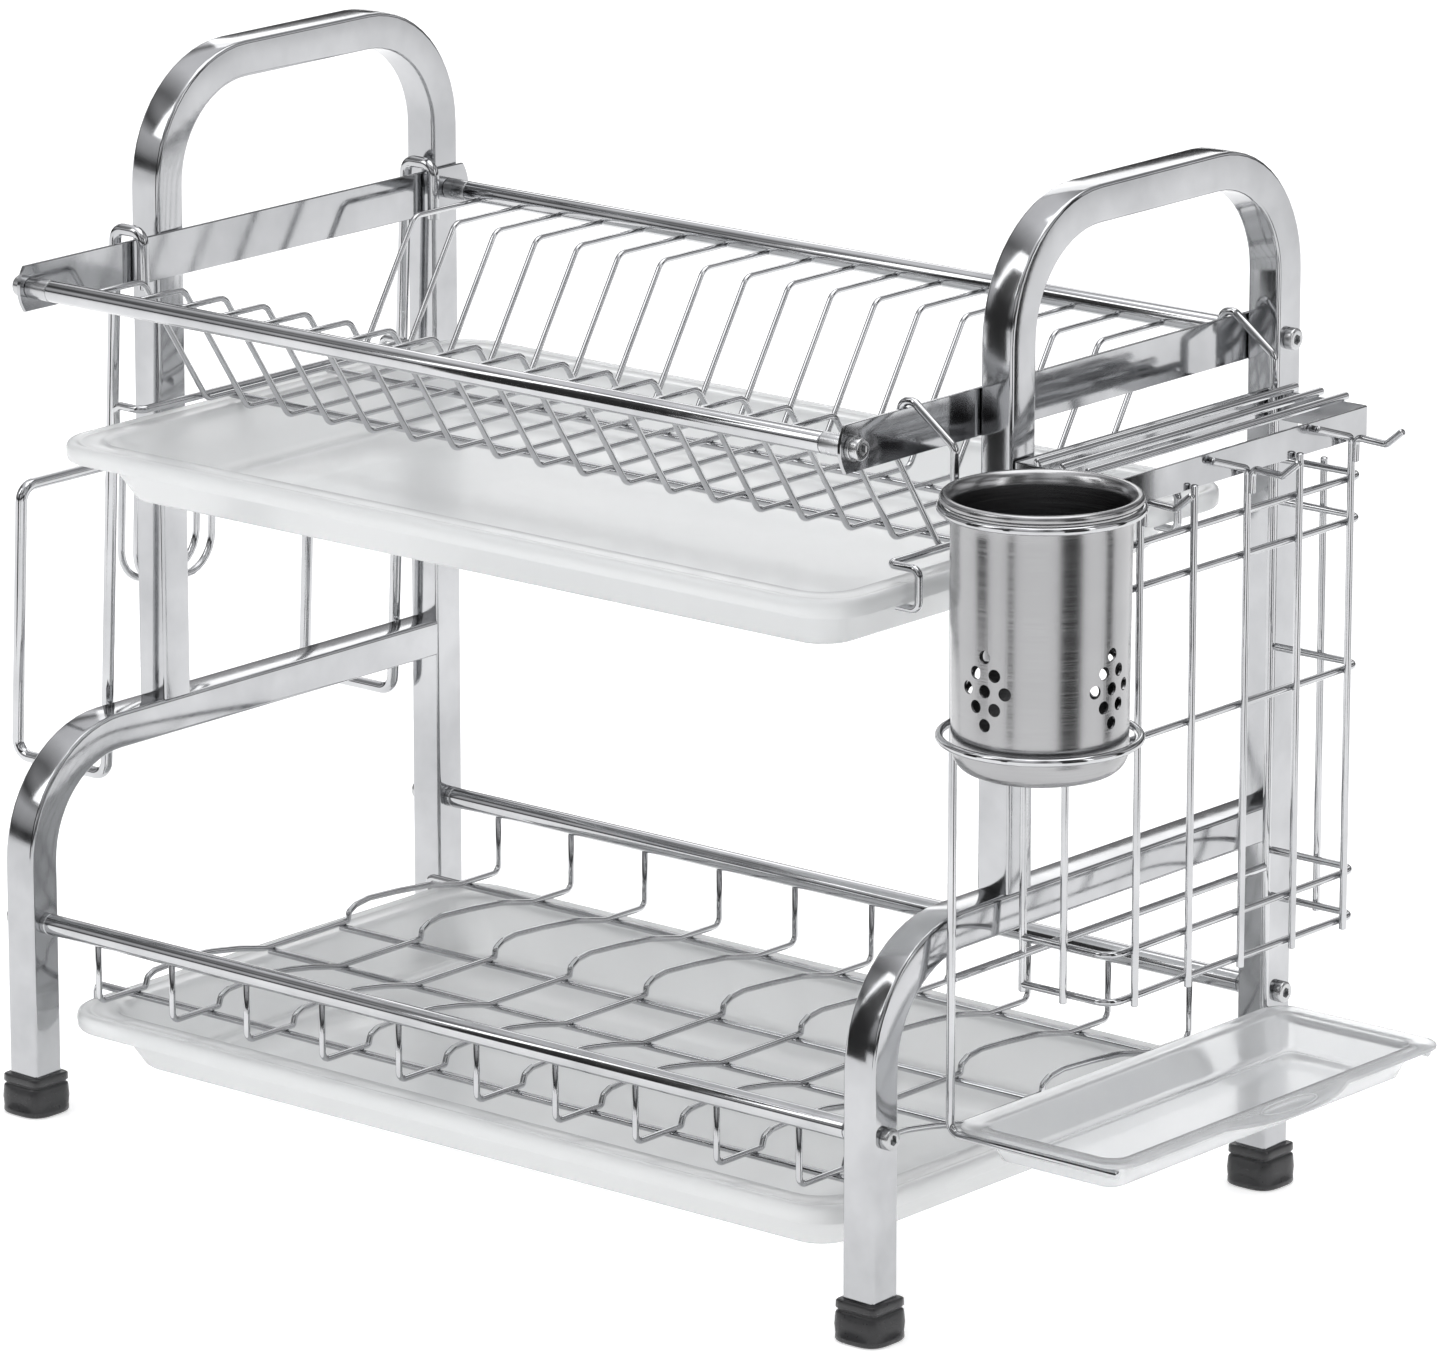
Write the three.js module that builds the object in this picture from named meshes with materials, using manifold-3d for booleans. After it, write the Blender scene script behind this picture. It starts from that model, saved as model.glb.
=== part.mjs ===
// Dish drying rack: a square-tube frame with a plate row, a bowl row, two pull-out drip trays, a
// chopping-board holder on the left side and a knife, utensil and cup caddy on the right side.
// Millimetres, +Z up, X across the front, Y from the front to the back.
// Origin: centre of the whole rack's footprint, on the counter.
import * as THREE from "three";
import { mergeVertices } from "three/addons/utils/BufferGeometryUtils.js";
import Module from "manifold-3d";

const wasm = await Module();
wasm.setup();

// Frame of square tube
const FRAME_WIDTH = 420;
const FRAME_DEPTH = 242.2;
const FRAME_HEIGHT = 394.4;
const TUBE = 14;
const TUBE_WALL = 1.2;
const TUBE_CORNER = 1.4;
const BEND_OUTER = 50;
const ARM_HEIGHT = 147.8;
const UPRIGHT_SETBACK = 74;
const CLEAR = 0.3;

// Feet
const FOOT_HEIGHT = 15.2;
const FOOT_RADIUS = 10.8;
const FOOT_SOLE = 3;
const FOOT_COLLAR = 3.2;
const FOOT_PROUD = 1;

// Side plates and rails
const PLATE_THICK = 1.5;
const PLATE_BELOW_RAIL = 8.8;
const PLATE_HEIGHT = 17.3;
const PLATE_FRONT = 1;
const PLATE_REAR_PROUD = 1.3;
const PLATE_BULGE = 3;
const RAIL_DIA = 8;
const RAIL_WALL = 0.6;
const UPPER_RAIL_HEIGHT = 320;
const UPPER_FRONT_RAIL_IN = 4.2;
const REAR_RAIL_IN = 7.2;
const LOWER_RAIL_HEIGHT = 75;
const UPPER_COLLAR = 10;
const LOWER_COLLAR = 2.2;
const SPIGOT = 12;

// Bolts
const SHANK_DIA = 4;
const HEAD_DIA = 8;
const HEAD_THICK = 3.2;
const SOCKET_FLATS = 3;
const SOCKET_DEPTH = 2;
const WASHER_DIA = 9;
const WASHER_THICK = 1.2;

// Plate row
const PLATE_WIRES = 18;
const PLATE_PITCH = 20.68;
const PLATE_WIRE = 2.2;
const PLATE_WIRE_DROP = 2;
const VALLEY_DROP = 52.5;
const VALLEY_FRONT = 77.7;
const VALLEY_REAR_IN = 71.9;
const SHOULDER_FRONT = 44.2;
const SHOULDER_REAR_IN = 40.3;
const LONG_WIRE = 2.8;
const LONG_WIRE_IN = 29;
const PLATE_LONG_FRONT = 96.3;
const PLATE_LONG_REAR_IN = 13.1;

// Tray hangers under the plate row
const HANGER_WIRE = 3;
const HANGER_IN = 31.2;
const HANGER_FRONT = 45.5;
const HANGER_REAR_IN = 48.5;
const HOOK_REACH = 10;
const HOOK_IN = 18;

// Drip trays
const TRAY_SIDE_GAP = 21;
const TRAY_FRONT = 3.5;
const TRAY_REAR_IN = 6.2;
const TRAY_HEIGHT = 22.7;
const TRAY_LIP = 7;
const TRAY_RIM = 12;
const TRAY_SLOPE_SIDE = 9;
const TRAY_SLOPE_END = 10;
const TRAY_WALL = 1.6;
const TRAY_CORNER = 20;
const UPPER_TRAY_BELOW = 4.5;
const LOWER_TRAY_TOP = 43.5;

// Bowl row
const BOWL_WIRES = 10;
const BOWL_PITCH = 37.77;
const BOWL_WIRE = 2.4;
const BOWL_BASE = 49;
const BOWL_CREST = 55;
const BOWL_FRONT = 8;
const BOWL_REAR_IN = 8.2;
const BOWL_REAR_RISE = 24;
const BOWL_LONG_DROP = 2.4;
const BOWL_LONG_FRONT = 29.5;
const BOWL_LONG_REAR_IN = 16.5;
const BOWL_MID_FRONT = 103.7;
const BOWL_MID_REAR = 144.1;
const BOWL_MID_IN = 38;

// Board holder on the left side
const BOARD_WIRE = 4.6;
const BOARD_LEAN = 0.046;
const BOARD_FRONT = 60;
const BOARD_REAR_IN = 20.5;
const BOARD_HOOK_PLAY = 1.41;
const BOARD_BOTTOM = 118;
const BOARD_REACH = 47;
const BOARD_BAR = 224;
const LOOP_WIRE = 3;
const LOOP_WIDTH = 42;
const LOOP_DROP = 51;

// Caddy on the right side
const HANG_OUT = 5.9;
const HOOK_WIRE = 3.1;
const CADDY_FRONT = 35.2;
const CADDY_REAR_IN = 24;
const CREST_RISE = 2.3;
const CREST_REACH = 6;
const DIAGONAL_DROP = 13.3;
const PRONG_HEIGHT = 71.4;
const PRONG_REACH = 74;
const CROSS_HEIGHT = 127.3;
const BAND_STRIP = 1.2;
const BAND_TALL = 11;
const BAND_BELOW_PLATE = 24;
const BAND_PAST_RING = 2.6;
const KNIFE_WIRE = 3;
const KNIFE_WIRES = 3;
const BASKET_WIRE = 2.7;
const BASKET_PAST = 1.3;
const BASKET_TOP = 279.6;
const BASKET_UPPER = 264;
const BASKET_MIDDLE = 209.8;
const BASKET_LOWER = 133.5;
const BASKET_BOTTOM = 116.3;
const BASKET_VERTICALS = 5;
const BASKET_FIRST_IN = 11;
const BASKET_LAST_IN = 10.4;
const TAIL = 21;
const UTENSIL_WIRE = 2.7;
const HOOK_OUT = 15;
const HOOK_TIP = 7;

// Cup and its rings
const RING_WIRE = 3;
const RING_PLAY = 2;
const RING_BELOW_PLATE = 25.8;
const LOWER_RING = 222;
const CUP_RADIUS = 31.2;
const CUP_WALL = 0.9;
const CUP_BOTTOM = 210;
const CUP_RIM_BEAD = 1.7;
const CUP_FILLET = 8;
const CUP_HOLE = 4.7;
const CUP_HOLE_STEP = 4.05;
const CUP_HOLE_RISE = 6;
const CUP_HOLE_HEIGHT = 34;

// Small pull-out tray
const SMALL_IN = 2;
const SMALL_WIDTH = 76;
const SMALL_FRONT = 32;
const SMALL_PAST = 5.8;
const SMALL_DEPTH = 13;
const SMALL_WALL = 1.5;
const SMALL_RIM = 4;
const SMALL_CORNER = 10;
const TAB_REACH = 9;
const TAB_WIDTH = 60;

// Derived heights and positions
const PLATE_BOTTOM = UPPER_RAIL_HEIGHT - PLATE_BELOW_RAIL;
const PLATE_TOP = PLATE_BOTTOM + PLATE_HEIGHT;
const PLATE_REAR = FRAME_DEPTH + PLATE_REAR_PROUD;
const PLATE_INNER = TUBE + CLEAR;
const REAR_RAIL = FRAME_DEPTH - REAR_RAIL_IN;
const MIDDLE = FRAME_WIDTH / 2;
const PLATE_VALLEY = UPPER_RAIL_HEIGHT - VALLEY_DROP;
const VALLEY_REAR = REAR_RAIL - VALLEY_REAR_IN;
const SHOULDER_REAR = REAR_RAIL - SHOULDER_REAR_IN;
const LONG_WIRE_HALF = MIDDLE - LONG_WIRE_IN;
const PLATE_LONG_REAR = VALLEY_REAR - PLATE_LONG_REAR_IN;
const HANGER_REAR = FRAME_DEPTH - HANGER_REAR_IN;
const TRAY_REAR = FRAME_DEPTH - TRAY_REAR_IN;
const UPPER_TRAY_TOP = PLATE_VALLEY - UPPER_TRAY_BELOW;
const BOWL_REAR = FRAME_DEPTH - BOWL_REAR_IN;
const BOWL_LONG_REAR = BOWL_REAR - BOWL_LONG_REAR_IN;
const BOWL_MID_HALF = MIDDLE - BOWL_MID_IN;
const BOARD_REAR = FRAME_DEPTH - BOARD_REAR_IN;
const CADDY_REAR = FRAME_DEPTH - CADDY_REAR_IN;
const BAND_TOP = PLATE_TOP - BAND_BELOW_PLATE;
const UPPER_RING = PLATE_TOP - RING_BELOW_PLATE;
const RING_OUTER = CUP_RADIUS + RING_PLAY + RING_WIRE;
const BAND_FRONT = CADDY_FRONT + RING_OUTER + BAND_PAST_RING;
const BASKET_FRONT = BAND_FRONT + BASKET_PAST;
const BASKET_REAR = CADDY_REAR + BASKET_PAST;
const BASKET_FIRST = BASKET_FRONT + BASKET_FIRST_IN;
const BASKET_PITCH = (BASKET_REAR - BASKET_LAST_IN - BASKET_FIRST) / (BASKET_VERTICALS - 1);
const SMALL_REAR = CADDY_REAR + SMALL_PAST;
const HANG_X = FRAME_WIDTH + HANG_OUT;
const BASKET_X = HANG_X + 39;
const VERTICAL_X = BASKET_X + BASKET_WIRE - 0.3;
const BAND_OUTER_X = VERTICAL_X - BASKET_WIRE / 2 - 2 * CLEAR;
const BAND_INNER_X = FRAME_WIDTH + 3 * CLEAR;
const BAND_REAR = CADDY_REAR + HOOK_WIRE / 2 + BAND_STRIP + 2 * CLEAR;
const RING_X = HANG_X + HOOK_WIRE / 2 + CLEAR + RING_OUTER;

// ---- shape helpers -------------------------------------------------------------------------

// A path through chosen points; straight runs need no points between their ends.
class PointPath extends THREE.Curve {
  constructor(points) {
    super();
    this.points = points;
  }
  getPoint(t, target = new THREE.Vector3()) {
    return target.copy(this.points[Math.round(t * (this.points.length - 1))]);
  }
  getPointAt(t, target) {
    return this.getPoint(t, target);
  }
  getTangentAt(t, target = new THREE.Vector3()) {
    const last = this.points.length - 1;
    const i = Math.round(t * last);
    const back = this.points[i].clone().sub(this.points[Math.max(0, i - 1)]).normalize();
    const ahead = this.points[Math.min(last, i + 1)].clone().sub(this.points[i]).normalize();
    return target.copy(back).add(ahead).normalize();
  }
}

const at = (x, y, z) => new THREE.Vector3(x, y, z);

// Rounds each inner corner of a run of points to one bend radius.
function bent(points, radius, steps = 2) {
  const out = [points[0].clone()];
  for (let i = 1; i < points.length - 1; i++) {
    const into = points[i].clone().sub(points[i - 1]);
    const away = points[i + 1].clone().sub(points[i]);
    const room = Math.min(into.length(), away.length()) * 0.49;
    into.normalize();
    away.normalize();
    const turn = into.angleTo(away);
    if (turn < 0.02) {
      out.push(points[i].clone());
      continue;
    }
    const setback = Math.min(radius * Math.tan(turn / 2), room);
    const r = setback / Math.tan(turn / 2);
    const start = points[i].clone().addScaledVector(into, -setback);
    const axis = new THREE.Vector3().crossVectors(into, away).normalize();
    const centre = start.clone().addScaledVector(new THREE.Vector3().crossVectors(axis, into), r);
    for (let k = 0; k <= steps; k++) {
      const arm = start.clone().sub(centre).applyAxisAngle(axis, (turn * k) / steps);
      out.push(centre.clone().add(arm));
    }
  }
  out.push(points.at(-1).clone());
  return out;
}

// A section whose polygon has the same area as its circle.
function roundShape(dia, sides) {
  const full = (2 * Math.PI) / sides;
  const r = (dia / 2) * Math.sqrt(full / Math.sin(full));
  const ring = [];
  for (let i = 0; i < sides; i++) {
    ring.push(new THREE.Vector2(r * Math.cos(full * i), r * Math.sin(full * i)));
  }
  return new THREE.Shape(ring);
}

function squarePoints(width, corner) {
  const h = width / 2;
  const c = h - corner;
  const steps = [[h, -c], [h, c], [c, h], [-c, h], [-h, c], [-h, -c], [-c, -h], [c, -h]];
  return steps.map(([x, y]) => new THREE.Vector2(x, y));
}

function sweep(shape, points) {
  const path = new PointPath(points);
  return new THREE.ExtrudeGeometry(shape, { steps: points.length - 1, extrudePath: path });
}

// A closed three.js geometry as a solid ready for joining and cutting.
function solid(geometry) {
  const g = geometry.index ? geometry : geometry.clone();
  g.deleteAttribute("normal");
  g.deleteAttribute("uv");
  const m = mergeVertices(g, 1e-4);
  const made = new wasm.Manifold(
    new wasm.Mesh({
      numProp: 3,
      vertProperties: new Float32Array(m.attributes.position.array),
      triVerts: new Uint32Array(m.index.array),
    }),
  );
  if (made.volume() > 0) return made;
  const turned = new Uint32Array(m.index.array);
  for (let i = 0; i < turned.length; i += 3) {
    [turned[i + 1], turned[i + 2]] = [turned[i + 2], turned[i + 1]];
  }
  return new wasm.Manifold(
    new wasm.Mesh({
      numProp: 3,
      vertProperties: new Float32Array(m.attributes.position.array),
      triVerts: turned,
    }),
  );
}

const joined = (list) => list.reduce((a, b) => a.add(b));
const wire = (points, dia, sides = 6) => solid(sweep(roundShape(dia, sides), points));

function block(x0, x1, y0, y1, z0, z1) {
  const g = new THREE.BoxGeometry(x1 - x0, y1 - y0, z1 - z0);
  g.translate((x0 + x1) / 2, (y0 + y1) / 2, (z0 + z1) / 2);
  return solid(g);
}

// A round rod along X.
function rodX(x0, x1, y, z, dia, sides = 16) {
  const g = new THREE.CylinderGeometry(dia / 2, dia / 2, x1 - x0, sides);
  g.rotateZ(Math.PI / 2);
  g.translate((x0 + x1) / 2, y, z);
  return solid(g);
}

// A rectangle with rounded corners, in plan.
function roundedPlan(x0, x1, y0, y1, r, steps = 3) {
  const out = [];
  const corners = [
    [x1 - r, y0 + r, -Math.PI / 2],
    [x1 - r, y1 - r, 0],
    [x0 + r, y1 - r, Math.PI / 2],
    [x0 + r, y0 + r, Math.PI],
  ];
  for (const [cx, cy, from] of corners) {
    for (let k = 0; k <= steps; k++) {
      const a = from + (k * Math.PI) / 2 / steps;
      out.push(new THREE.Vector2(cx + r * Math.cos(a), cy + r * Math.sin(a)));
    }
  }
  return out;
}

// A solid between two plans of equal point count at two heights.
function frustum(lower, upper, z0, z1) {
  const n = lower.length;
  const g = new THREE.ExtrudeGeometry(new THREE.Shape(lower), {
    depth: z1 - z0,
    steps: 1,
    bevelEnabled: false,
  });
  const p = g.getAttribute("position");
  for (let i = 0; i < p.count; i++) {
    if (p.getZ(i) <= (z1 - z0) / 2) continue;
    let best = 0;
    let near = Infinity;
    for (let k = 0; k < n; k++) {
      const d = Math.hypot(p.getX(i) - lower[k].x, p.getY(i) - lower[k].y);
      if (d < near) {
        near = d;
        best = k;
      }
    }
    p.setXY(i, upper[best].x, upper[best].y);
  }
  g.translate(0, 0, z0);
  return solid(g);
}

const rack = new THREE.Group();
rack.name = "dish_drying_rack";

const FINISH = {
  steel: { color: 0xc9ccd0, roughness: 0.14, metalness: 1 },
  tube: { color: 0xb9bcc1, roughness: 0.2, metalness: 1 },
  brushed: { color: 0xb4b6b9, roughness: 0.34, metalness: 1 },
  zinc: { color: 0xa4a7ab, roughness: 0.3, metalness: 1 },
  rubber: { color: 0x141416, roughness: 0.55, metalness: 0 },
  white: { color: 0xe9eef0, roughness: 0.35, metalness: 0 },
  clear: { color: 0xdfe6ea, roughness: 0.12, metalness: 0 },
  collar: { color: 0x8f9398, roughness: 0.32, metalness: 1 },
};

function place(name, made, finish) {
  const m = made.getMesh();
  const g = new THREE.BufferGeometry();
  g.setAttribute("position", new THREE.BufferAttribute(new Float32Array(m.vertProperties), 3));
  g.setIndex(new THREE.BufferAttribute(new Uint32Array(m.triVerts), 1));
  g.computeVertexNormals();
  const mesh = new THREE.Mesh(g, new THREE.MeshStandardMaterial(FINISH[finish]));
  mesh.name = name;
  rack.add(mesh);
}

// Both sides are alike: the right one mirrors the left one about the middle.
const SIDES = [
  { name: "left", x: (v) => v },
  { name: "right", x: (v) => FRAME_WIDTH - v },
];
const span = (side, a, b) => [side.x(a), side.x(b)].sort((p, q) => p - q);
const boltHole = (side, from, to, y, z) =>
  rodX(...span(side, from, to), y, z, SHANK_DIA + 2 * CLEAR);

// ---- frame ---------------------------------------------------------------------------------

const legFront = TUBE / 2;
const legRear = FRAME_DEPTH - TUBE / 2;
const tubeShape = new THREE.Shape(squarePoints(TUBE, TUBE_CORNER));
tubeShape.holes.push(new THREE.Path(squarePoints(TUBE - 2 * TUBE_WALL, TUBE_CORNER / 2)));
const tubeBend = BEND_OUTER - TUBE / 2;
const tubeEnd = FOOT_SOLE + CLEAR;

for (const side of SIDES) {
  const x = side.x(TUBE / 2);
  const archPath = bent(
    [
      at(x, legRear, tubeEnd),
      at(x, legRear, FRAME_HEIGHT - TUBE / 2),
      at(x, UPRIGHT_SETBACK + TUBE / 2, FRAME_HEIGHT - TUBE / 2),
      at(x, UPRIGHT_SETBACK + TUBE / 2, ARM_HEIGHT + CLEAR),
    ],
    tubeBend,
    6,
  );
  const armPath = bent(
    [
      at(x, FRAME_DEPTH - TUBE - CLEAR, ARM_HEIGHT - TUBE / 2),
      at(x, legFront, ARM_HEIGHT - TUBE / 2),
      at(x, legFront, tubeEnd),
    ],
    tubeBend,
    6,
  );
  const arch = solid(sweep(tubeShape, archPath))
    .subtract(boltHole(side, -1, TUBE + 1, REAR_RAIL, LOWER_RAIL_HEIGHT))
    .subtract(boltHole(side, -1, TUBE + 1, REAR_RAIL, UPPER_RAIL_HEIGHT));
  const arm = solid(sweep(tubeShape, armPath))
    .subtract(boltHole(side, -1, TUBE + 1, legFront, LOWER_RAIL_HEIGHT));
  place("arch_tube_" + side.name, arch, "tube");
  place("arm_tube_" + side.name, arm, "tube");

  for (const [end, y] of [["front", legFront], ["rear", legRear]]) {
    const collar = TUBE + 2 * FOOT_PROUD;
    const profile = [
      new THREE.Vector2(0, 0),
      new THREE.Vector2(FOOT_RADIUS - 0.8, 0),
      new THREE.Vector2(FOOT_RADIUS, 0.8),
      new THREE.Vector2(FOOT_RADIUS, 4),
      new THREE.Vector2(FOOT_RADIUS - 0.5, FOOT_HEIGHT - FOOT_COLLAR),
      new THREE.Vector2(0, FOOT_HEIGHT - FOOT_COLLAR),
    ];
    const base = new THREE.LatheGeometry(profile, 24);
    base.rotateX(Math.PI / 2);
    base.translate(x, y, 0);
    const h = collar / 2;
    const top = block(x - h, x + h, y - h, y + h, FOOT_HEIGHT - FOOT_COLLAR - 1, FOOT_HEIGHT);
    const p = TUBE / 2 + CLEAR;
    const pocket = block(x - p, x + p, y - p, y + p, FOOT_SOLE, FOOT_HEIGHT + 1);
    place("foot_" + side.name + "_" + end, solid(base).add(top).subtract(pocket), "rubber");
  }

  // Side plate: a flat strip with shallow curved ends.
  const half = PLATE_HEIGHT / 2;
  const mid = PLATE_BOTTOM + half;
  const outline = [];
  for (let k = 0; k <= 6; k++) {
    const s = -1 + k / 3;
    outline.push(new THREE.Vector2(PLATE_FRONT - PLATE_BULGE * (1 - s * s), mid - s * half));
  }
  for (let k = 0; k <= 6; k++) {
    const s = -1 + k / 3;
    outline.push(new THREE.Vector2(PLATE_REAR + PLATE_BULGE * (1 - s * s), mid + s * half));
  }
  const strip = new THREE.ExtrudeGeometry(new THREE.Shape(outline), {
    depth: PLATE_THICK,
    bevelEnabled: false,
  });
  strip.applyMatrix4(new THREE.Matrix4().set(0, 0, 1, 0, 1, 0, 0, 0, 0, 1, 0, 0, 0, 0, 0, 1));
  strip.translate(span(side, PLATE_INNER, PLATE_INNER + PLATE_THICK)[0], 0, 0);
  const plate = solid(strip)
    .subtract(boltHole(side, TUBE, TUBE + 4, UPPER_FRONT_RAIL_IN, UPPER_RAIL_HEIGHT))
    .subtract(boltHole(side, TUBE, TUBE + 4, REAR_RAIL, UPPER_RAIL_HEIGHT));
  place("side_plate_" + side.name, plate, "tube");
}

// Rails with a bored plug in each end, and the bolt that holds each plug.
const RAILS = [
  { name: "upper_front", y: UPPER_FRONT_RAIL_IN, z: UPPER_RAIL_HEIGHT, upper: true, plate: true },
  { name: "upper_rear", y: REAR_RAIL, z: UPPER_RAIL_HEIGHT, upper: true, plate: false },
  { name: "lower_front", y: legFront, z: LOWER_RAIL_HEIGHT, upper: false, plate: false },
  { name: "lower_rear", y: REAR_RAIL, z: LOWER_RAIL_HEIGHT, upper: false, plate: false },
];
for (const rail of RAILS) {
  const collar = rail.upper ? UPPER_COLLAR : LOWER_COLLAR;
  const seat = CLEAR + (rail.upper ? PLATE_INNER + PLATE_THICK : TUBE);
  const from = seat + collar + CLEAR;
  const tube = rodX(from, FRAME_WIDTH - from, rail.y, rail.z, RAIL_DIA, 20);
  const bore = RAIL_DIA - 2 * RAIL_WALL;
  const hollow = rodX(from - 1, FRAME_WIDTH - from + 1, rail.y, rail.z, bore, 20);
  place("rail_" + rail.name, tube.subtract(hollow), "steel");
  for (const side of SIDES) {
    const plug = rodX(...span(side, seat, seat + collar), rail.y, rail.z, RAIL_DIA)
      .add(rodX(...span(side, seat + 1, from + SPIGOT), rail.y, rail.z, bore - 2 * CLEAR))
      .subtract(boltHole(side, seat - 1, from + SPIGOT + 1, rail.y, rail.z));
    place("plug_" + rail.name + "_" + side.name, plug, "collar");
    const face = rail.plate ? PLATE_INNER - WASHER_THICK - 2 * CLEAR : -CLEAR;
    const headOut = face - HEAD_THICK;
    const socket = new THREE.CylinderGeometry(
      SOCKET_FLATS / Math.sqrt(3),
      SOCKET_FLATS / Math.sqrt(3),
      2 * SOCKET_DEPTH,
      6,
    );
    socket.rotateZ(Math.PI / 2);
    socket.translate(side.x(headOut), rail.y, rail.z);
    const bolt = rodX(...span(side, headOut, face), rail.y, rail.z, HEAD_DIA, 18)
      .add(rodX(...span(side, face - 1, from + SPIGOT - 2), rail.y, rail.z, SHANK_DIA, 12))
      .subtract(solid(socket));
    place("bolt_" + rail.name + "_" + side.name, bolt, "zinc");
    if (rail.plate) {
      const w = span(side, face + CLEAR, face + CLEAR + WASHER_THICK);
      const ring = rodX(...w, rail.y, rail.z, WASHER_DIA)
        .subtract(boltHole(side, face - 1, PLATE_INNER, rail.y, rail.z));
      place("washer_" + side.name, ring, "zinc");
    }
  }
}

// ---- plate row -----------------------------------------------------------------------------

const plateShoulder = UPPER_RAIL_HEIGHT - PLATE_WIRE_DROP;
const plateWires = [];
for (let i = 0; i < PLATE_WIRES; i++) {
  const x = MIDDLE + (i - (PLATE_WIRES - 1) / 2) * PLATE_PITCH;
  const reach = RAIL_DIA / 2 + CLEAR;
  const run = bent(
    [
      at(x, UPPER_FRONT_RAIL_IN + reach, plateShoulder),
      at(x, SHOULDER_FRONT, plateShoulder),
      at(x, VALLEY_FRONT, PLATE_VALLEY),
      at(x, VALLEY_REAR, PLATE_VALLEY),
      at(x, SHOULDER_REAR, plateShoulder),
      at(x, REAR_RAIL - reach, plateShoulder),
    ],
    5,
    1,
  );
  plateWires.push(wire(run, PLATE_WIRE));
}
const plateLongHeight = PLATE_VALLEY - (PLATE_WIRE + LONG_WIRE) / 2 + 0.2;
for (const y of [PLATE_LONG_FRONT, PLATE_LONG_REAR]) {
  const ends = [
    at(MIDDLE - LONG_WIRE_HALF, y, plateLongHeight),
    at(MIDDLE + LONG_WIRE_HALF, y, plateLongHeight),
  ];
  plateWires.push(wire(ends, LONG_WIRE));
}
place("plate_rack_wires", joined(plateWires), "steel");

// Each hanger lies on the long wires and its four ends hook in under the upper tray's rim.
const hangerHeight = plateLongHeight + (LONG_WIRE + HANGER_WIRE) / 2 + CLEAR;
const upperHook = UPPER_TRAY_TOP - TRAY_LIP - HANGER_WIRE / 2 - CLEAR - 0.2;
for (const side of SIDES) {
  const run = [
    at(side.x(HOOK_IN + HOOK_REACH), HANGER_FRONT, upperHook),
    at(side.x(HOOK_IN), HANGER_FRONT, upperHook),
    at(side.x(HOOK_IN), HANGER_FRONT, hangerHeight),
    at(side.x(HANGER_IN), HANGER_FRONT, hangerHeight),
    at(side.x(HANGER_IN), HANGER_REAR, hangerHeight),
    at(side.x(HOOK_IN), HANGER_REAR, hangerHeight),
    at(side.x(HOOK_IN), HANGER_REAR, upperHook),
    at(side.x(HOOK_IN + HOOK_REACH), HANGER_REAR, upperHook),
  ];
  place("tray_hanger_" + side.name, wire(bent(run, 2.5), HANGER_WIRE, 6), "steel");
}

// ---- drip trays ----------------------------------------------------------------------------

function dripTray(top) {
  const x0 = TRAY_SIDE_GAP;
  const x1 = FRAME_WIDTH - TRAY_SIDE_GAP;
  const bottom = top - TRAY_HEIGHT;
  const plan = (side, end, r) =>
    roundedPlan(x0 + side, x1 - side, TRAY_FRONT + end, TRAY_REAR - end, r);
  const rim = plan(0, 0, TRAY_CORNER);
  const mouth = plan(TRAY_RIM, TRAY_RIM, TRAY_CORNER - 5);
  const floorSide = TRAY_RIM + TRAY_SLOPE_SIDE;
  const floorEnd = TRAY_RIM + TRAY_SLOPE_END;
  const floor = plan(floorSide, floorEnd, TRAY_CORNER - 7);
  const w = TRAY_WALL;
  const outerMouth = plan(TRAY_RIM - w, TRAY_RIM - w, TRAY_CORNER - 4);
  const outerFloor = plan(floorSide - w, floorEnd - w, TRAY_CORNER - 6);
  const lip = plan(w, w, TRAY_CORNER - 1);
  const body = frustum(outerFloor, outerMouth, bottom, top - w / 2);
  const flange = frustum(rim, rim, top - w, top);
  const skirt = frustum(rim, rim, top - TRAY_LIP, top - w / 2)
    .subtract(frustum(lip, lip, top - TRAY_LIP - 1, top - w));
  const hollow = frustum(floor, mouth, bottom + w, top + 0.01);
  return body.add(flange).add(skirt).subtract(hollow);
}
place("upper_drip_tray", dripTray(UPPER_TRAY_TOP), "white");
place("lower_drip_tray", dripTray(LOWER_TRAY_TOP), "white");

// ---- bowl row ------------------------------------------------------------------------------

const bowlWires = [];
const bowlRun = (x) => {
  const end = LOWER_RAIL_HEIGHT - RAIL_DIA / 2 - CLEAR - 0.1;
  const crest = BOWL_CREST - 0.4;
  return [
    at(x, BOWL_FRONT, end),
    ...bent([at(x, BOWL_FRONT, end), at(x, BOWL_FRONT, BOWL_BASE), at(x, 33, BOWL_BASE)], 3, 1)
      .slice(1, -1),
    at(x, 33, BOWL_BASE),
    at(x, 36, crest - 1.2),
    at(x, 41.5, crest),
    at(x, 72, crest + 0.1),
    at(x, 99, BOWL_BASE),
    at(x, 146, BOWL_BASE),
    at(x, 148.5, crest - 1.4),
    at(x, 154, crest + 0.3),
    at(x, 182, crest - 0.5),
    at(x, BOWL_REAR - BOWL_REAR_RISE, BOWL_BASE),
    ...bent(
      [at(x, BOWL_REAR - BOWL_REAR_RISE + 2, BOWL_BASE), at(x, BOWL_REAR, BOWL_BASE), at(x, BOWL_REAR, end)],
      3,
      1,
    )
      .slice(1, -1),
    at(x, BOWL_REAR, end),
  ];
};
for (let i = 0; i < BOWL_WIRES; i++) {
  const x = MIDDLE + (i - (BOWL_WIRES - 1) / 2) * BOWL_PITCH;
  bowlWires.push(wire(bowlRun(x), BOWL_WIRE));
}
const bowlLong = BOWL_BASE - BOWL_LONG_DROP;
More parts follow.
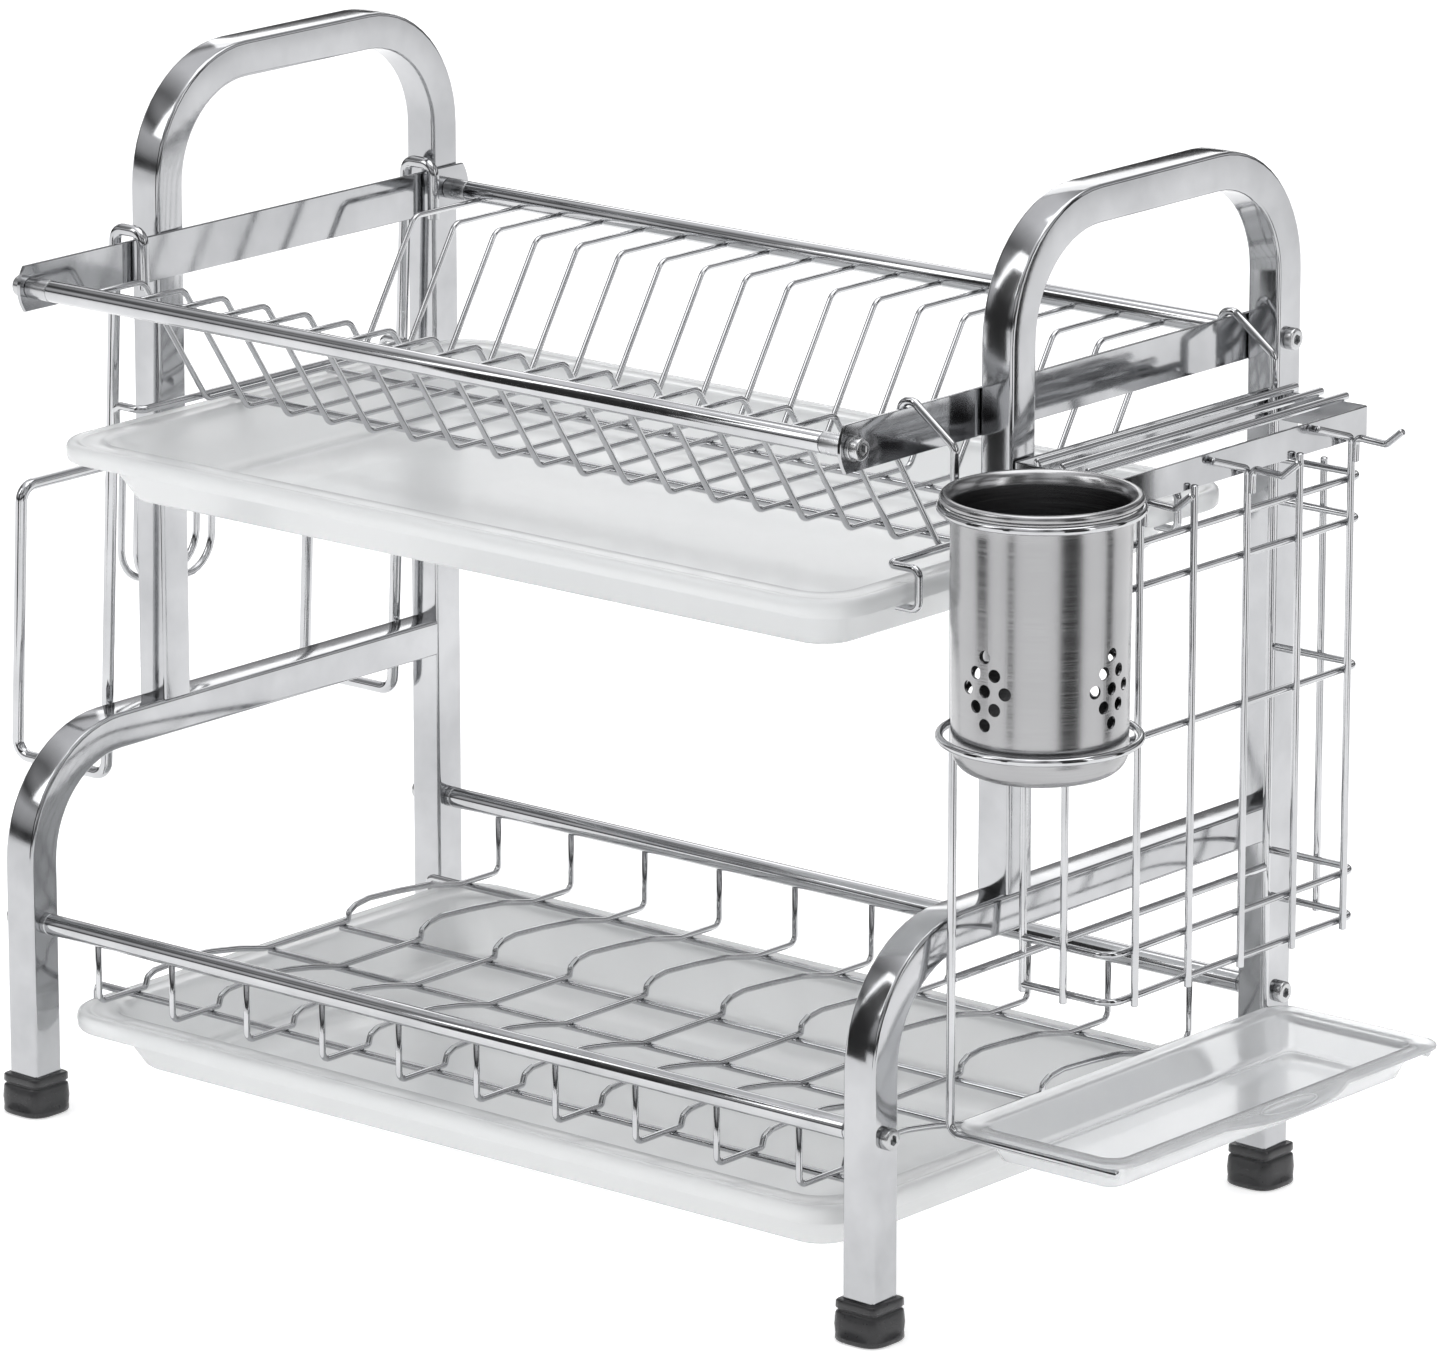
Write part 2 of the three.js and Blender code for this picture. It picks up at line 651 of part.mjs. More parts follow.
const lowerHook = LOWER_TRAY_TOP - TRAY_LIP - LONG_WIRE / 2 - CLEAR - 0.1;
for (const y of [BOWL_LONG_FRONT, BOWL_LONG_REAR]) {
  const run = [
    at(HOOK_IN + HOOK_REACH, y, lowerHook),
    at(HOOK_IN, y, lowerHook),
    at(HOOK_IN, y, bowlLong),
    at(FRAME_WIDTH - HOOK_IN, y, bowlLong),
    at(FRAME_WIDTH - HOOK_IN, y, lowerHook),
    at(FRAME_WIDTH - HOOK_IN - HOOK_REACH, y, lowerHook),
  ];
  bowlWires.push(wire(bent(run, 2.5), LONG_WIRE));
}
for (const y of [BOWL_MID_FRONT, BOWL_MID_REAR]) {
  const ends = [at(MIDDLE - BOWL_MID_HALF, y, bowlLong), at(MIDDLE + BOWL_MID_HALF, y, bowlLong)];
  bowlWires.push(wire(ends, LONG_WIRE));
}
place("bowl_rack_wires", joined(bowlWires), "steel");

// ---- board holder --------------------------------------------------------------------------

// The holder hangs from the left plate and leans out a little, resting on the arm tube's face.
const boardInner = -BOARD_WIRE / 2 - CLEAR - 0.35;
const boardX = (x, z) => x - (z - ARM_HEIGHT) * -BOARD_LEAN;
const boardCrest = PLATE_TOP + BOARD_WIRE / 2 + 3 * CLEAR;
const boardTopX = boardX(boardInner, boardCrest);
const boardOut = boardX(boardInner, BOARD_BOTTOM) - BOARD_REACH;
const boardBarX = boardOut + (BOARD_BAR - BOARD_BOTTOM) * BOARD_LEAN;
const boardHookX = PLATE_INNER + PLATE_THICK + BOARD_WIRE / 2 + BOARD_HOOK_PLAY;
function boardSide(y) {
  return [
    at(boardHookX, y, PLATE_BOTTOM - 1),
    at(boardHookX, y, boardCrest),
    at(boardTopX, y, boardCrest),
    at(boardX(boardInner, BOARD_BOTTOM), y, BOARD_BOTTOM),
    at(boardOut, y, BOARD_BOTTOM),
    at(boardBarX, y, BOARD_BAR),
  ];
}
const boardRun = [...boardSide(BOARD_FRONT), ...boardSide(BOARD_REAR).reverse()];
place("board_holder_wire", wire(bent(boardRun, 4, 2), BOARD_WIRE, 8), "steel");
const loopY = (BOARD_FRONT + BOARD_REAR) / 2;
for (const [name, offset] of [["inner", 1], ["outer", -1]]) {
  const x = boardBarX + offset * (BOARD_WIRE / 2 + LOOP_WIRE / 2 + CLEAR);
  const low = x - LOOP_DROP * BOARD_LEAN;
  const run = [
    at(x, loopY - LOOP_WIDTH / 2, BOARD_BAR + 1),
    at(low, loopY - LOOP_WIDTH / 2, BOARD_BAR - LOOP_DROP),
    at(low, loopY + LOOP_WIDTH / 2, BOARD_BAR - LOOP_DROP),
    at(x, loopY + LOOP_WIDTH / 2, BOARD_BAR + 1),
  ];
  place("board_loop_" + name, wire(bent(run, 14, 3), LOOP_WIRE, 6), "steel");
}

// ---- caddy ---------------------------------------------------------------------------------

const crest = PLATE_TOP + CREST_RISE;
const plateInnerX = FRAME_WIDTH - PLATE_INNER - PLATE_THICK;
for (const [name, y] of [["front", CADDY_FRONT], ["rear", CADDY_REAR]]) {
  const legX = plateInnerX - HOOK_WIRE / 2 - 2 * CLEAR;
  const run = [
    at(legX, y, PLATE_BOTTOM + 6),
    at(legX, y, crest),
    at(legX + CREST_REACH, y, crest),
    at(HANG_X, y, crest - DIAGONAL_DROP),
    at(HANG_X, y, PRONG_HEIGHT),
    at(HANG_X + PRONG_REACH, y, PRONG_HEIGHT),
  ];
  place("caddy_hook_" + name, wire(bent(run, 4), HOOK_WIRE, 8), "steel");
}
const crossInset = HOOK_WIRE / 2 + CLEAR + 0.1;
place(
  "caddy_cross_wire",
  wire(
    [
      at(HANG_X, CADDY_FRONT + crossInset, CROSS_HEIGHT),
      at(HANG_X, CADDY_REAR - crossInset, CROSS_HEIGHT),
    ],
    RING_WIRE,
    8,
  ),
  "steel",
);

// Knife band: a flat strip bent into a rectangle, with three wires lying across its ends.
const bandLow = BAND_TOP - BAND_TALL;
const band = block(BAND_INNER_X, BAND_OUTER_X, BAND_FRONT, BAND_REAR, bandLow, BAND_TOP).subtract(
  block(
    BAND_INNER_X + BAND_STRIP,
    BAND_OUTER_X - BAND_STRIP,
    BAND_FRONT + BAND_STRIP,
    BAND_REAR - BAND_STRIP,
    bandLow - 1,
    BAND_TOP + 1,
  ),
);
place("knife_band", band, "steel");
for (let i = 1; i <= KNIFE_WIRES; i++) {
  const x = BAND_INNER_X + ((BAND_OUTER_X - BAND_INNER_X) * i) / (KNIFE_WIRES + 1);
  const z = BAND_TOP + KNIFE_WIRE / 2 + CLEAR;
  const ends = [at(x, BAND_FRONT - 1.2, z), at(x, BAND_REAR + 1.8, z)];
  place("knife_wire_" + i, wire(ends, KNIFE_WIRE, 8), "steel");
}

// Basket of horizontal hoops open towards the frame, with upright wires outside them.
const basketWires = [];
const hoopEnd = HANG_X + HOOK_WIRE / 2 + CLEAR + 0.1;
for (const z of [BASKET_TOP, BASKET_UPPER, BASKET_MIDDLE, BASKET_LOWER, BASKET_BOTTOM]) {
  const run = [
    at(HANG_X, BASKET_FRONT, z),
    at(BASKET_X, BASKET_FRONT, z),
    at(BASKET_X, BASKET_REAR, z),
    at(hoopEnd, BASKET_REAR, z),
  ];
  basketWires.push(wire(bent(run, 6), BASKET_WIRE));
}
const uprightFoot = BASKET_BOTTOM - BASKET_WIRE / 2 - 1.5;
const tails = [0, 2, 4];
for (let i = 0; i < BASKET_VERTICALS; i++) {
  const y = BASKET_FIRST + i * BASKET_PITCH;
  const top = bandLow + 2;
  const run = [at(VERTICAL_X, y, uprightFoot), at(VERTICAL_X, y, top)];
  const tailEnd = Math.max(y - TAIL, BAND_FRONT + 3);
  if (tails.includes(i)) run.push(at(VERTICAL_X, tailEnd, BAND_TOP - BASKET_WIRE / 2 - 1));
  basketWires.push(wire(bent(run, 3), BASKET_WIRE));
}
const endUprightX = HANG_X + 20;
const half = BASKET_WIRE - 0.3;
for (const y of [BASKET_FRONT - half, BASKET_REAR + half]) {
  const run = [at(endUprightX, y, uprightFoot), at(endUprightX, y, BASKET_TOP + 3)];
  basketWires.push(wire(run, BASKET_WIRE));
}
basketWires.push(
  wire(
    [at(HANG_X, BASKET_FRONT, CROSS_HEIGHT + 2.2), at(HANG_X, BASKET_FRONT, bandLow - CLEAR)],
    BASKET_WIRE,
  ),
  wire([at(HANG_X, BASKET_FRONT, uprightFoot), at(HANG_X, BASKET_FRONT, CROSS_HEIGHT - 2.2)], BASKET_WIRE),
);
place("basket_wires", joined(basketWires), "steel");

// Utensil hooks stand out from the three uprights that carry a tail.
tails.forEach((i, k) => {
  const y = BASKET_FIRST + i * BASKET_PITCH;
  const x = VERTICAL_X + BASKET_WIRE / 2 + UTENSIL_WIRE / 2 + CLEAR + 0.15;
  const z = bandLow + 2.4;
  const run = [
    at(x, y, z - 9),
    at(x, y, z),
    at(x + HOOK_OUT - 3, y, z - 0.6),
    at(x + HOOK_OUT + HOOK_TIP - 3, y, z + 5),
  ];
  place("utensil_hook_" + (k + 1), wire(bent(run, 2.4), UTENSIL_WIRE, 8), "steel");
});

// Two rings carry the cup; its rolled rim rests on the upper one.
for (const [name, z] of [["upper", UPPER_RING], ["lower", LOWER_RING]]) {
  const g = new THREE.TorusGeometry(RING_OUTER - RING_WIRE / 2, RING_WIRE / 2, 6, 30);
  g.translate(RING_X, CADDY_FRONT, z);
  place("cup_ring_" + name, solid(g), "steel");
}

const cupRimZ = UPPER_RING + RING_WIRE / 2 + CLEAR + CUP_RIM_BEAD;
const cupProfile = [new THREE.Vector2(0, CUP_BOTTOM)];
for (let k = 0; k <= 3; k++) {
  const a = (k * Math.PI) / 6;
  const low = CUP_RADIUS - 1.2;
  cupProfile.push(
    new THREE.Vector2(
      low - CUP_FILLET + CUP_FILLET * Math.sin(a),
      CUP_BOTTOM + CUP_FILLET - CUP_FILLET * Math.cos(a),
    ),
  );
}
cupProfile.push(new THREE.Vector2(CUP_RADIUS, cupRimZ - 8));
const beadX = CUP_RADIUS + CUP_RIM_BEAD + 0.6;
for (let k = 0; k <= 5; k++) {
  const a = -Math.PI * 0.75 + (k * Math.PI * 1.5) / 5;
  cupProfile.push(
    new THREE.Vector2(beadX + CUP_RIM_BEAD * Math.cos(a), cupRimZ + CUP_RIM_BEAD * Math.sin(a)),
  );
}
cupProfile.push(new THREE.Vector2(CUP_RADIUS - CUP_WALL, cupRimZ - 4));
for (let k = 3; k >= 0; k--) {
  const a = (k * Math.PI) / 6;
  const low = CUP_RADIUS - 1.2 - CUP_WALL;
  cupProfile.push(
    new THREE.Vector2(
      low - CUP_FILLET + CUP_FILLET * Math.sin(a),
      CUP_BOTTOM + CUP_WALL + CUP_FILLET - CUP_FILLET * Math.cos(a),
    ),
  );
}
cupProfile.push(new THREE.Vector2(0, CUP_BOTTOM + CUP_WALL));
const cupBody = new THREE.LatheGeometry(cupProfile, 28);
cupBody.rotateX(Math.PI / 2);
cupBody.translate(RING_X, CADDY_FRONT, 0);
let cup = solid(cupBody);
for (let quarter = 0; quarter < 4; quarter++) {
  for (let row = -2; row <= 2; row++) {
    const across = 2 - Math.abs(row);
    for (let col = -across; col <= across; col += 2) {
      const g = new THREE.CylinderGeometry(CUP_HOLE / 2, CUP_HOLE / 2, 6, 6);
      g.rotateX(Math.PI / 2);
      g.translate(0, CUP_RADIUS, 0);
      g.rotateZ((quarter * Math.PI) / 2 + (col * CUP_HOLE_STEP) / CUP_RADIUS);
      g.translate(RING_X, CADDY_FRONT, CUP_BOTTOM + CUP_HOLE_HEIGHT + row * CUP_HOLE_RISE);
      cup = cup.subtract(solid(g));
    }
  }
}
place("utensil_cup", cup, "brushed");

// ---- small pull-out tray -------------------------------------------------------------------

const smallX0 = HANG_X + SMALL_IN;
const smallX1 = smallX0 + SMALL_WIDTH;
const smallTop = PRONG_HEIGHT + HOOK_WIRE / 2 + CLEAR + SMALL_WALL + 0.2;
const smallPlan = (inset, r) =>
  roundedPlan(smallX0 + inset, smallX1 - inset, SMALL_FRONT + inset, SMALL_REAR - inset, r);
const smallRim = smallPlan(0, SMALL_CORNER);
const tabMiddle = (SMALL_FRONT + SMALL_REAR) / 2;
const tab = new THREE.CylinderGeometry(TAB_WIDTH / 2, TAB_WIDTH / 2, SMALL_WALL, 28);
tab.rotateX(Math.PI / 2);
tab.scale(TAB_REACH / (TAB_WIDTH / 2), 1, 1);
tab.translate(smallX1 - 1, tabMiddle, smallTop - SMALL_WALL / 2);
const wellInset = SMALL_RIM + HOOK_WIRE + 2.5;
const endWell = (inset, r) =>
  roundedPlan(
    smallX0 + SMALL_RIM + inset - SMALL_RIM + 2,
    smallX1 - inset - 4,
    SMALL_FRONT + inset + wellInset - SMALL_RIM,
    SMALL_REAR - inset - wellInset + SMALL_RIM,
    r,
  );
const well = frustum(endWell(5, 6), endWell(1, 8), smallTop - SMALL_DEPTH, smallTop - 0.4);
const wellHollow = frustum(
  endWell(5 + SMALL_WALL, 5),
  endWell(1 + SMALL_WALL, 7),
  smallTop - SMALL_DEPTH + SMALL_WALL,
  smallTop + 0.01,
);
const smallTray = frustum(smallRim, smallRim, smallTop - SMALL_WALL, smallTop)
  .add(solid(tab))
  .add(well)
  .subtract(wellHollow);
place("small_drip_tray", smallTray, "clear");

// The whole rack moved so the origin is the centre of its footprint, on the counter.
const extent = new THREE.Box3().setFromObject(rack);
rack.position.set(
  -(extent.min.x + extent.max.x) / 2,
  -(extent.min.y + extent.max.y) / 2,
  -extent.min.z,
);

export default rack;
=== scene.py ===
import math
import bmesh
import bpy
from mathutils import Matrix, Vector


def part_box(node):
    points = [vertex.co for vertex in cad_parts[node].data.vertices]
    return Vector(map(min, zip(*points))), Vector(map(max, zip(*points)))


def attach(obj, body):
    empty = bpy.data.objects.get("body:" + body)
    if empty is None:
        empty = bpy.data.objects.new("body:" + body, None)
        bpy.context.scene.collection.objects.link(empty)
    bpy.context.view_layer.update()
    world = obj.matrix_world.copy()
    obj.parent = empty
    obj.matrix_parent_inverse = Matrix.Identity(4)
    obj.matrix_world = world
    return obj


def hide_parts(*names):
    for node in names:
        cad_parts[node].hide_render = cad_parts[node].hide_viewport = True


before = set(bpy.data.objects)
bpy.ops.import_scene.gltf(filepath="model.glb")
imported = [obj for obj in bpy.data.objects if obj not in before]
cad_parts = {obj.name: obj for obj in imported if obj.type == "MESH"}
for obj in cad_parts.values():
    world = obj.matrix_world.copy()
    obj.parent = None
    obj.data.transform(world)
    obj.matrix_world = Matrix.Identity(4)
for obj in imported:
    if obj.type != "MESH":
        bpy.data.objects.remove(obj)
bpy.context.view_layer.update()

# ---- Camera ---------------------------------------------------------------------------------
# A long lens from the front right, a little above the top of the rack. Places here and below
# are millimetres from the rack's own corner: left tube's outer face, front legs' face, counter.
CORNER = Vector((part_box("arch_tube_left")[0].x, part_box("arm_tube_left")[0].y, 0.0))
WIDTH = (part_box("arch_tube_right")[1].x - CORNER.x) * 1000


def at(x, y, z):
    return CORNER + Vector((x, y, z)) / 1000


def span(node):
    low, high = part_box(node)
    return (low - CORNER) * 1000, (high - CORNER) * 1000


lens = bpy.data.cameras.new("camera")
lens.sensor_width = 36
lens.lens = 223.4
lens.clip_start, lens.clip_end = 0.05, 40
eye = bpy.data.objects.new("camera", lens)
eye.location = at(2284.58, -2299.97, 1039.85)
eye.rotation_euler = (math.radians(74.918), 0, math.radians(40.045))
bpy.context.collection.objects.link(eye)
bpy.context.scene.camera = eye


# ---- Frame tubes ----------------------------------------------------------------------------
# Bright square steel tube, bent cold to one radius: rear leg, handle and upright in one length,
# front leg and arm in the other. Polished, with faint cloudy smears and a very fine grain.
class Term:
    def __init__(self, look, socket):
        self.look, self.socket = look, socket

    def op(self, kind, *others):
        made = self.look.tree.nodes.new("ShaderNodeMath")
        made.operation = kind
        for place, value in enumerate((self, *others)):
            self.look.feed(made.inputs[place], value)
        return Term(self.look, made.outputs[0])

    def __add__(self, other):
        return self.op("ADD", other)

    def __sub__(self, other):
        return self.op("SUBTRACT", other)

    def __mul__(self, other):
        return self.op("MULTIPLY", other)

    def __radd__(self, other):
        return self + other

    def __rsub__(self, other):
        return (self * -1.0) + other

    def __rmul__(self, other):
        return self * other


class Look:
    def __init__(self, name):
        self.material = bpy.data.materials.new(name)
        self.material.use_nodes = True
        self.tree = self.material.node_tree
        self.tree.nodes.clear()
        self.end = self.tree.nodes.new("ShaderNodeOutputMaterial")

    def feed(self, socket, value):
        if isinstance(value, Term):
            self.tree.links.new(value.socket, socket)
        else:
            socket.default_value = value

    def node(self, kind, out=0, inputs=None, **settings):
        made = self.tree.nodes.new(kind)
        for key, value in settings.items():
            setattr(made, key, value)
        for key, value in (inputs or {}).items():
            self.feed(made.inputs[key], value)
        return Term(self, made.outputs[out])

    def place(self, stretch=(1, 1, 1)):
        spot = self.node("ShaderNodeTexCoord", out="Object")
        return self.node("ShaderNodeMapping", inputs={"Vector": spot, "Scale": stretch})

    def noise(self, scale, detail=3.0, stretch=(1, 1, 1), rough=0.55):
        inputs = {"Vector": self.place(stretch), "Scale": scale}
        inputs.update({"Detail": detail, "Roughness": rough})
        return self.node("ShaderNodeTexNoise", inputs=inputs)

    def between(self, factor, low, high):
        made = self.node("ShaderNodeMix", out=2, data_type="RGBA")
        ports = made.socket.node.inputs
        self.feed(ports[0], factor)
        self.feed(ports[6], low)
        self.feed(ports[7], high)
        return made

    def fit(self, value, low, high, to_low, to_high):
        ends = {"Value": value, "From Min": low, "From Max": high}
        ends.update({"To Min": to_low, "To Max": to_high})
        return self.node("ShaderNodeMapRange", inputs=ends)

    def bump(self, height, distance, strength=1.0):
        inputs = {"Height": height, "Distance": distance, "Strength": strength}
        return self.node("ShaderNodeBump", inputs=inputs)

    def surface(self, **inputs):
        keyed = {key.replace("_", " "): value for key, value in inputs.items()}
        shader = self.node("ShaderNodeBsdfPrincipled", inputs=keyed)
        self.tree.links.new(shader.socket, self.end.inputs["Surface"])
        return self.material


def polished_steel(name, dark, bright, rough, grain):
    look = Look(name)
    cloud = look.noise(26, 4)
    smear = look.noise(140, 3, (1, 1, 0.25))
    tint = look.between(look.fit(cloud, 0.3, 0.7, 0, 1), dark, bright)
    gloss = look.fit(smear, 0.3, 0.75, rough * 0.75, rough * 1.35)
    fine = look.noise(2600, 2, (1, 1, 0.12)) * 0.6 + look.noise(420, 2) * 0.4
    return look.surface(
        Base_Color=tint, Metallic=1.0, Roughness=gloss, Normal=look.bump(fine, grain, 0.35)
    )


TUBE_STEEL = polished_steel(
    "tube_steel", (0.40, 0.405, 0.415, 1), (0.53, 0.535, 0.545, 1), 0.11, 0.00002
)
TUBE_BEND = 0.043  # metres, on the tube's centre line
TUBE_EDGE = 1.4  # millimetres, the rounding along the tube's four edges
STRAIGHT = 0.01  # radians: a corner that turns less than this gets no bend


def bent(points, radius, steps=14):
    out = [points[0]]
    for back, here, ahead in zip(points, points[1:], points[2:]):
        into, away = (here - back).normalized(), (ahead - here).normalized()
        turn = into.angle(away)
        if turn < STRAIGHT:
            out.append(here)
            continue
        room = min((here - back).length, (ahead - here).length) * 0.49
        setback = min(radius * math.tan(turn / 2), room)
        r = setback / math.tan(turn / 2)
        start = here - into * setback
        axis = into.cross(away).normalized()
        inward = axis.cross(into)
        for k in range(steps + 1):
            a = turn * k / steps
            out.append(start + into * (r * math.sin(a)) + inward * (r * (1 - math.cos(a))))
    out.append(points[-1])
    return out


def rounded(width, height, r, steps=4):
    out = []
    for cx, cy, start in ((1, -1, -90), (1, 1, 0), (-1, 1, 90), (-1, -1, 180)):
        for k in range(steps + 1):
            a = math.radians(start + 90 * k / steps)
            x = cx * (width / 2 - r) + r * math.cos(a)
            y = cy * (height / 2 - r) + r * math.sin(a)
            out.append((x, y))
    return out


def loft(name, rings, material, closed=False, caps=True, sharp=35):
    count = len(rings[0])
    verts = [point for ring in rings for point in ring]
    faces = []
    total = len(rings)
    for i in range(total if closed else total - 1):
        low, high = i * count, ((i + 1) % total) * count
        for k in range(count):
            n = (k + 1) % count
            faces.append((low + k, low + n, high + n, high + k))
    if caps and not closed:
        faces.append(tuple(reversed(range(count))))
        faces.append(tuple(range((total - 1) * count, total * count)))
    mesh = bpy.data.meshes.new(name)
    mesh.from_pydata([tuple(v) for v in verts], [], faces)
    return finish_mesh(name, mesh, material, sharp)


def finish_mesh(name, mesh, material, sharp=35):
    work = bmesh.new()
    work.from_mesh(mesh)
    bmesh.ops.remove_doubles(work, verts=work.verts, dist=1e-7)
    bmesh.ops.recalc_face_normals(work, faces=work.faces)
    work.to_mesh(mesh)
    work.free()
    mesh.shade_smooth()
    mesh.set_sharp_from_angle(angle=math.radians(sharp))
    mesh.materials.clear()
    mesh.materials.append(material)
    made = bpy.data.objects.new(name, mesh)
    bpy.context.collection.objects.link(made)
    return made


def stand_for(piece, node, body):
    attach(piece, body)
    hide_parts(node)


def square_tube(name, path, material, width, r):
    section = rounded(width, width, r)
    rings = []
    for i, point in enumerate(path):
        back, ahead = path[max(0, i - 1)], path[min(len(path) - 1, i + 1)]
        along = (ahead - back).normalized()
        side = Vector((1, 0, 0))
        up = along.cross(side)
        ring = [point + side * (a / 1000) + up * (b / 1000) for a, b in section]
        rings.append(ring)
    return loft(name, rings, material, sharp=40)


for side in ("left", "right"):
    low, high = span("arch_tube_" + side)
    arm_low, arm_high = span("arm_tube_" + side)
    tube = high.x - low.x
    x = (low.x + high.x) / 2
    half = tube / 2
    arch = bent(
        [
            at(x, high.y - half, low.z),
            at(x, high.y - half, high.z - half),
            at(x, low.y + half, high.z - half),
            at(x, low.y + half, arm_high.z + 0.05),
        ],
        TUBE_BEND,
    )
    piece = square_tube("arch_" + side, arch, TUBE_STEEL, tube, TUBE_EDGE)
    stand_for(piece, "arch_tube_" + side, "rack")
    arm = bent(
        [
            at(x, arm_high.y + 0.2, arm_high.z - half),
            at(x, arm_low.y + half, arm_high.z - half),
            at(x, arm_low.y + half, arm_low.z),
        ],
        TUBE_BEND,
    )
    piece = square_tube("arm_" + side, arm, TUBE_STEEL, tube, TUBE_EDGE)
    stand_for(piece, "arm_tube_" + side, "rack")


# ---- Feet -----------------------------------------------------------------------------------
# Black rubber boots: a round sole that draws in to a square collar, with a groove under it.
look = Look("black_rubber")
speck = look.noise(900, 3)
RUBBER = look.surface(
    Base_Color=look.between(
        look.noise(60, 3), (0.010, 0.010, 0.011, 1), (0.022, 0.022, 0.024, 1)
    ),
    Roughness=look.fit(speck, 0.3, 0.7, 0.26, 0.44),
    Coat_Weight=look.fit(look.noise(45, 2), 0.3, 0.7, 0.1, 0.3),
    Normal=look.bump(speck, 0.00003, 0.4),
)


def squircle(radius, square, count=48):
    ring = []
    for k in range(count):
        a = 2 * math.pi * k / count
        c, s = math.cos(a), math.sin(a)
        power = 2 + 12 * square
        reach = (abs(c) ** power + abs(s) ** power) ** (-1 / power)
        ring.append((radius * reach * c, radius * reach * s))
    return ring


for side in ("left", "right"):
    for end in ("front", "rear"):
        low, high = span(f"foot_{side}_{end}")
        x, y, top = (low.x + high.x) / 2, (low.y + high.y) / 2, high.z
        sole = (high.x - low.x) / 2
        shape = [
            (0.0, sole - 0.9, 0.1), (0.3, sole - 0.3, 0.1), (0.8, sole, 0.1),
            (2.2, sole - 0.05, 0.1), (2.6, sole - 0.3, 0.12), (6.0, sole - 0.8, 0.3),
            (10.2, sole - 1.5, 0.55), (10.9, sole - 1.75, 0.6), (11.2, sole - 2.3, 0.7),
            (11.6, sole - 2.35, 0.75), (11.9, sole - 2.0, 0.85), (12.3, sole - 1.8, 0.9),
            (top - 0.5, sole - 1.85, 0.9), (top - 0.1, sole - 2.1, 0.9), (top, sole - 2.5, 0.9),
            (top, sole - 3.72, 0.9),
        ]
        rings = [[at(x + a, y + b, z) for a, b in squircle(r, q)] for z, r, q in shape]
        piece = loft(f"boot_{side}_{end}", rings, RUBBER, sharp=50)
        stand_for(piece, f"foot_{side}_{end}", "rack")


# ---- Side plates and rails ------------------------------------------------------------------
# Flat polished strips with shallow curved ends carry the upper rails. All four rails are round
# polished tube with a satin turned plug showing at each end.
PLATE_STEEL = polished_steel(
    "plate_steel", (0.38, 0.385, 0.395, 1), (0.50, 0.505, 0.515, 1), 0.08, 0.00001
)
WIRE_STEEL = polished_steel(
    "wire_steel", (0.44, 0.445, 0.455, 1), (0.58, 0.585, 0.595, 1), 0.09, 0.00001
)
for side in ("left", "right"):
    low, high = span("side_plate_" + side)
    bulge, soft = 3.0, 0.22
    middle, half = (low.z + high.z) / 2, (high.z - low.z) / 2
    outline = []
    for k in range(17):
        s = -1 + k / 8
        outline.append((low.y + bulge * s * s, middle - s * half))
    for k in range(17):
        s = -1 + k / 8
        outline.append((high.y - bulge * s * s, middle + s * half))
    rings = []
    for x, shrink in ((low.x, soft), (low.x + soft, 0), (high.x - soft, 0), (high.x, soft)):
        ring = []
        for y, z in outline:
            ky = 1 - shrink / ((high.y - low.y) / 2)
            kz = 1 - shrink / half
            cy = (low.y + high.y) / 2
            ring.append(at(x, cy + (y - cy) * ky, middle + (z - middle) * kz))
        rings.append(ring)
    piece = loft("strip_" + side, rings, PLATE_STEEL, sharp=30)
    stand_for(piece, "side_plate_" + side, "rack")


def circle(x, y, z, r, count=40):
    turns = (2 * math.pi * k / count for k in range(count))
    return [at(x, y + r * math.cos(a), z + r * math.sin(a)) for a in turns]


def turned(name, stations, y, z, material):
    return loft(name, [circle(x, y, z, r) for x, r in stations], material)


PLUG_STEEL = polished_steel(
    "plug_steel", (0.44, 0.445, 0.455, 1), (0.56, 0.565, 0.575, 1), 0.26, 0.00003
)
RAILS = ("upper_front", "upper_rear", "lower_front", "lower_rear")
for rail in RAILS:
    low, high = span("rail_" + rail)
    y, z, r = (low.y + high.y) / 2, (low.z + high.z) / 2, (high.z - low.z) / 2
    ends = [(low.x, r - 0.35), (low.x + 0.12, r - 0.1), (low.x + 0.4, r)]
    ends += [(high.x - 0.4, r), (high.x - 0.12, r - 0.1), (high.x, r - 0.35)]
    piece = turned("tube_" + rail, ends, y, z, WIRE_STEEL)
    stand_for(piece, "rail_" + rail, "rack")
    for side in ("left", "right"):
        plug_low, plug_high = span(f"plug_{rail}_{side}")
        outer = plug_low.x if side == "left" else plug_high.x
        inner = low.x if side == "left" else high.x
        step = 1 if side == "left" else -1
        face = outer - step * 0.28
        stations = [
            (face, r - 0.5), (face + step * 0.25, r - 0.12), (face + step * 0.6, r),
            (inner - step * 0.45, r), (inner - step * 0.2, r - 0.22), (inner - step * 0.1, r - 0.5),
            (inner + step * 1.5, r - 0.6),
        ]
        piece = turned(f"end_{rail}_{side}", stations, y, z, PLUG_STEEL)
        stand_for(piece, f"plug_{rail}_{side}", "rack")

# ---- Bolts ----------------------------------------------------------------------------------
# Zinc-plated cap heads with a rounded crown and a hexagon socket, screwed into the plugs; the
# two on the side plates have a washer behind the head.
BOLT_STEEL = polished_steel(
    "bolt_steel", (0.42, 0.425, 0.43, 1), (0.58, 0.585, 0.59, 1), 0.24, 0.00004
)
BOLT_SIDES = 48
HEAD, SOCKET = 3.2, 1.62  # the head's depth, and from the socket's middle to its flats


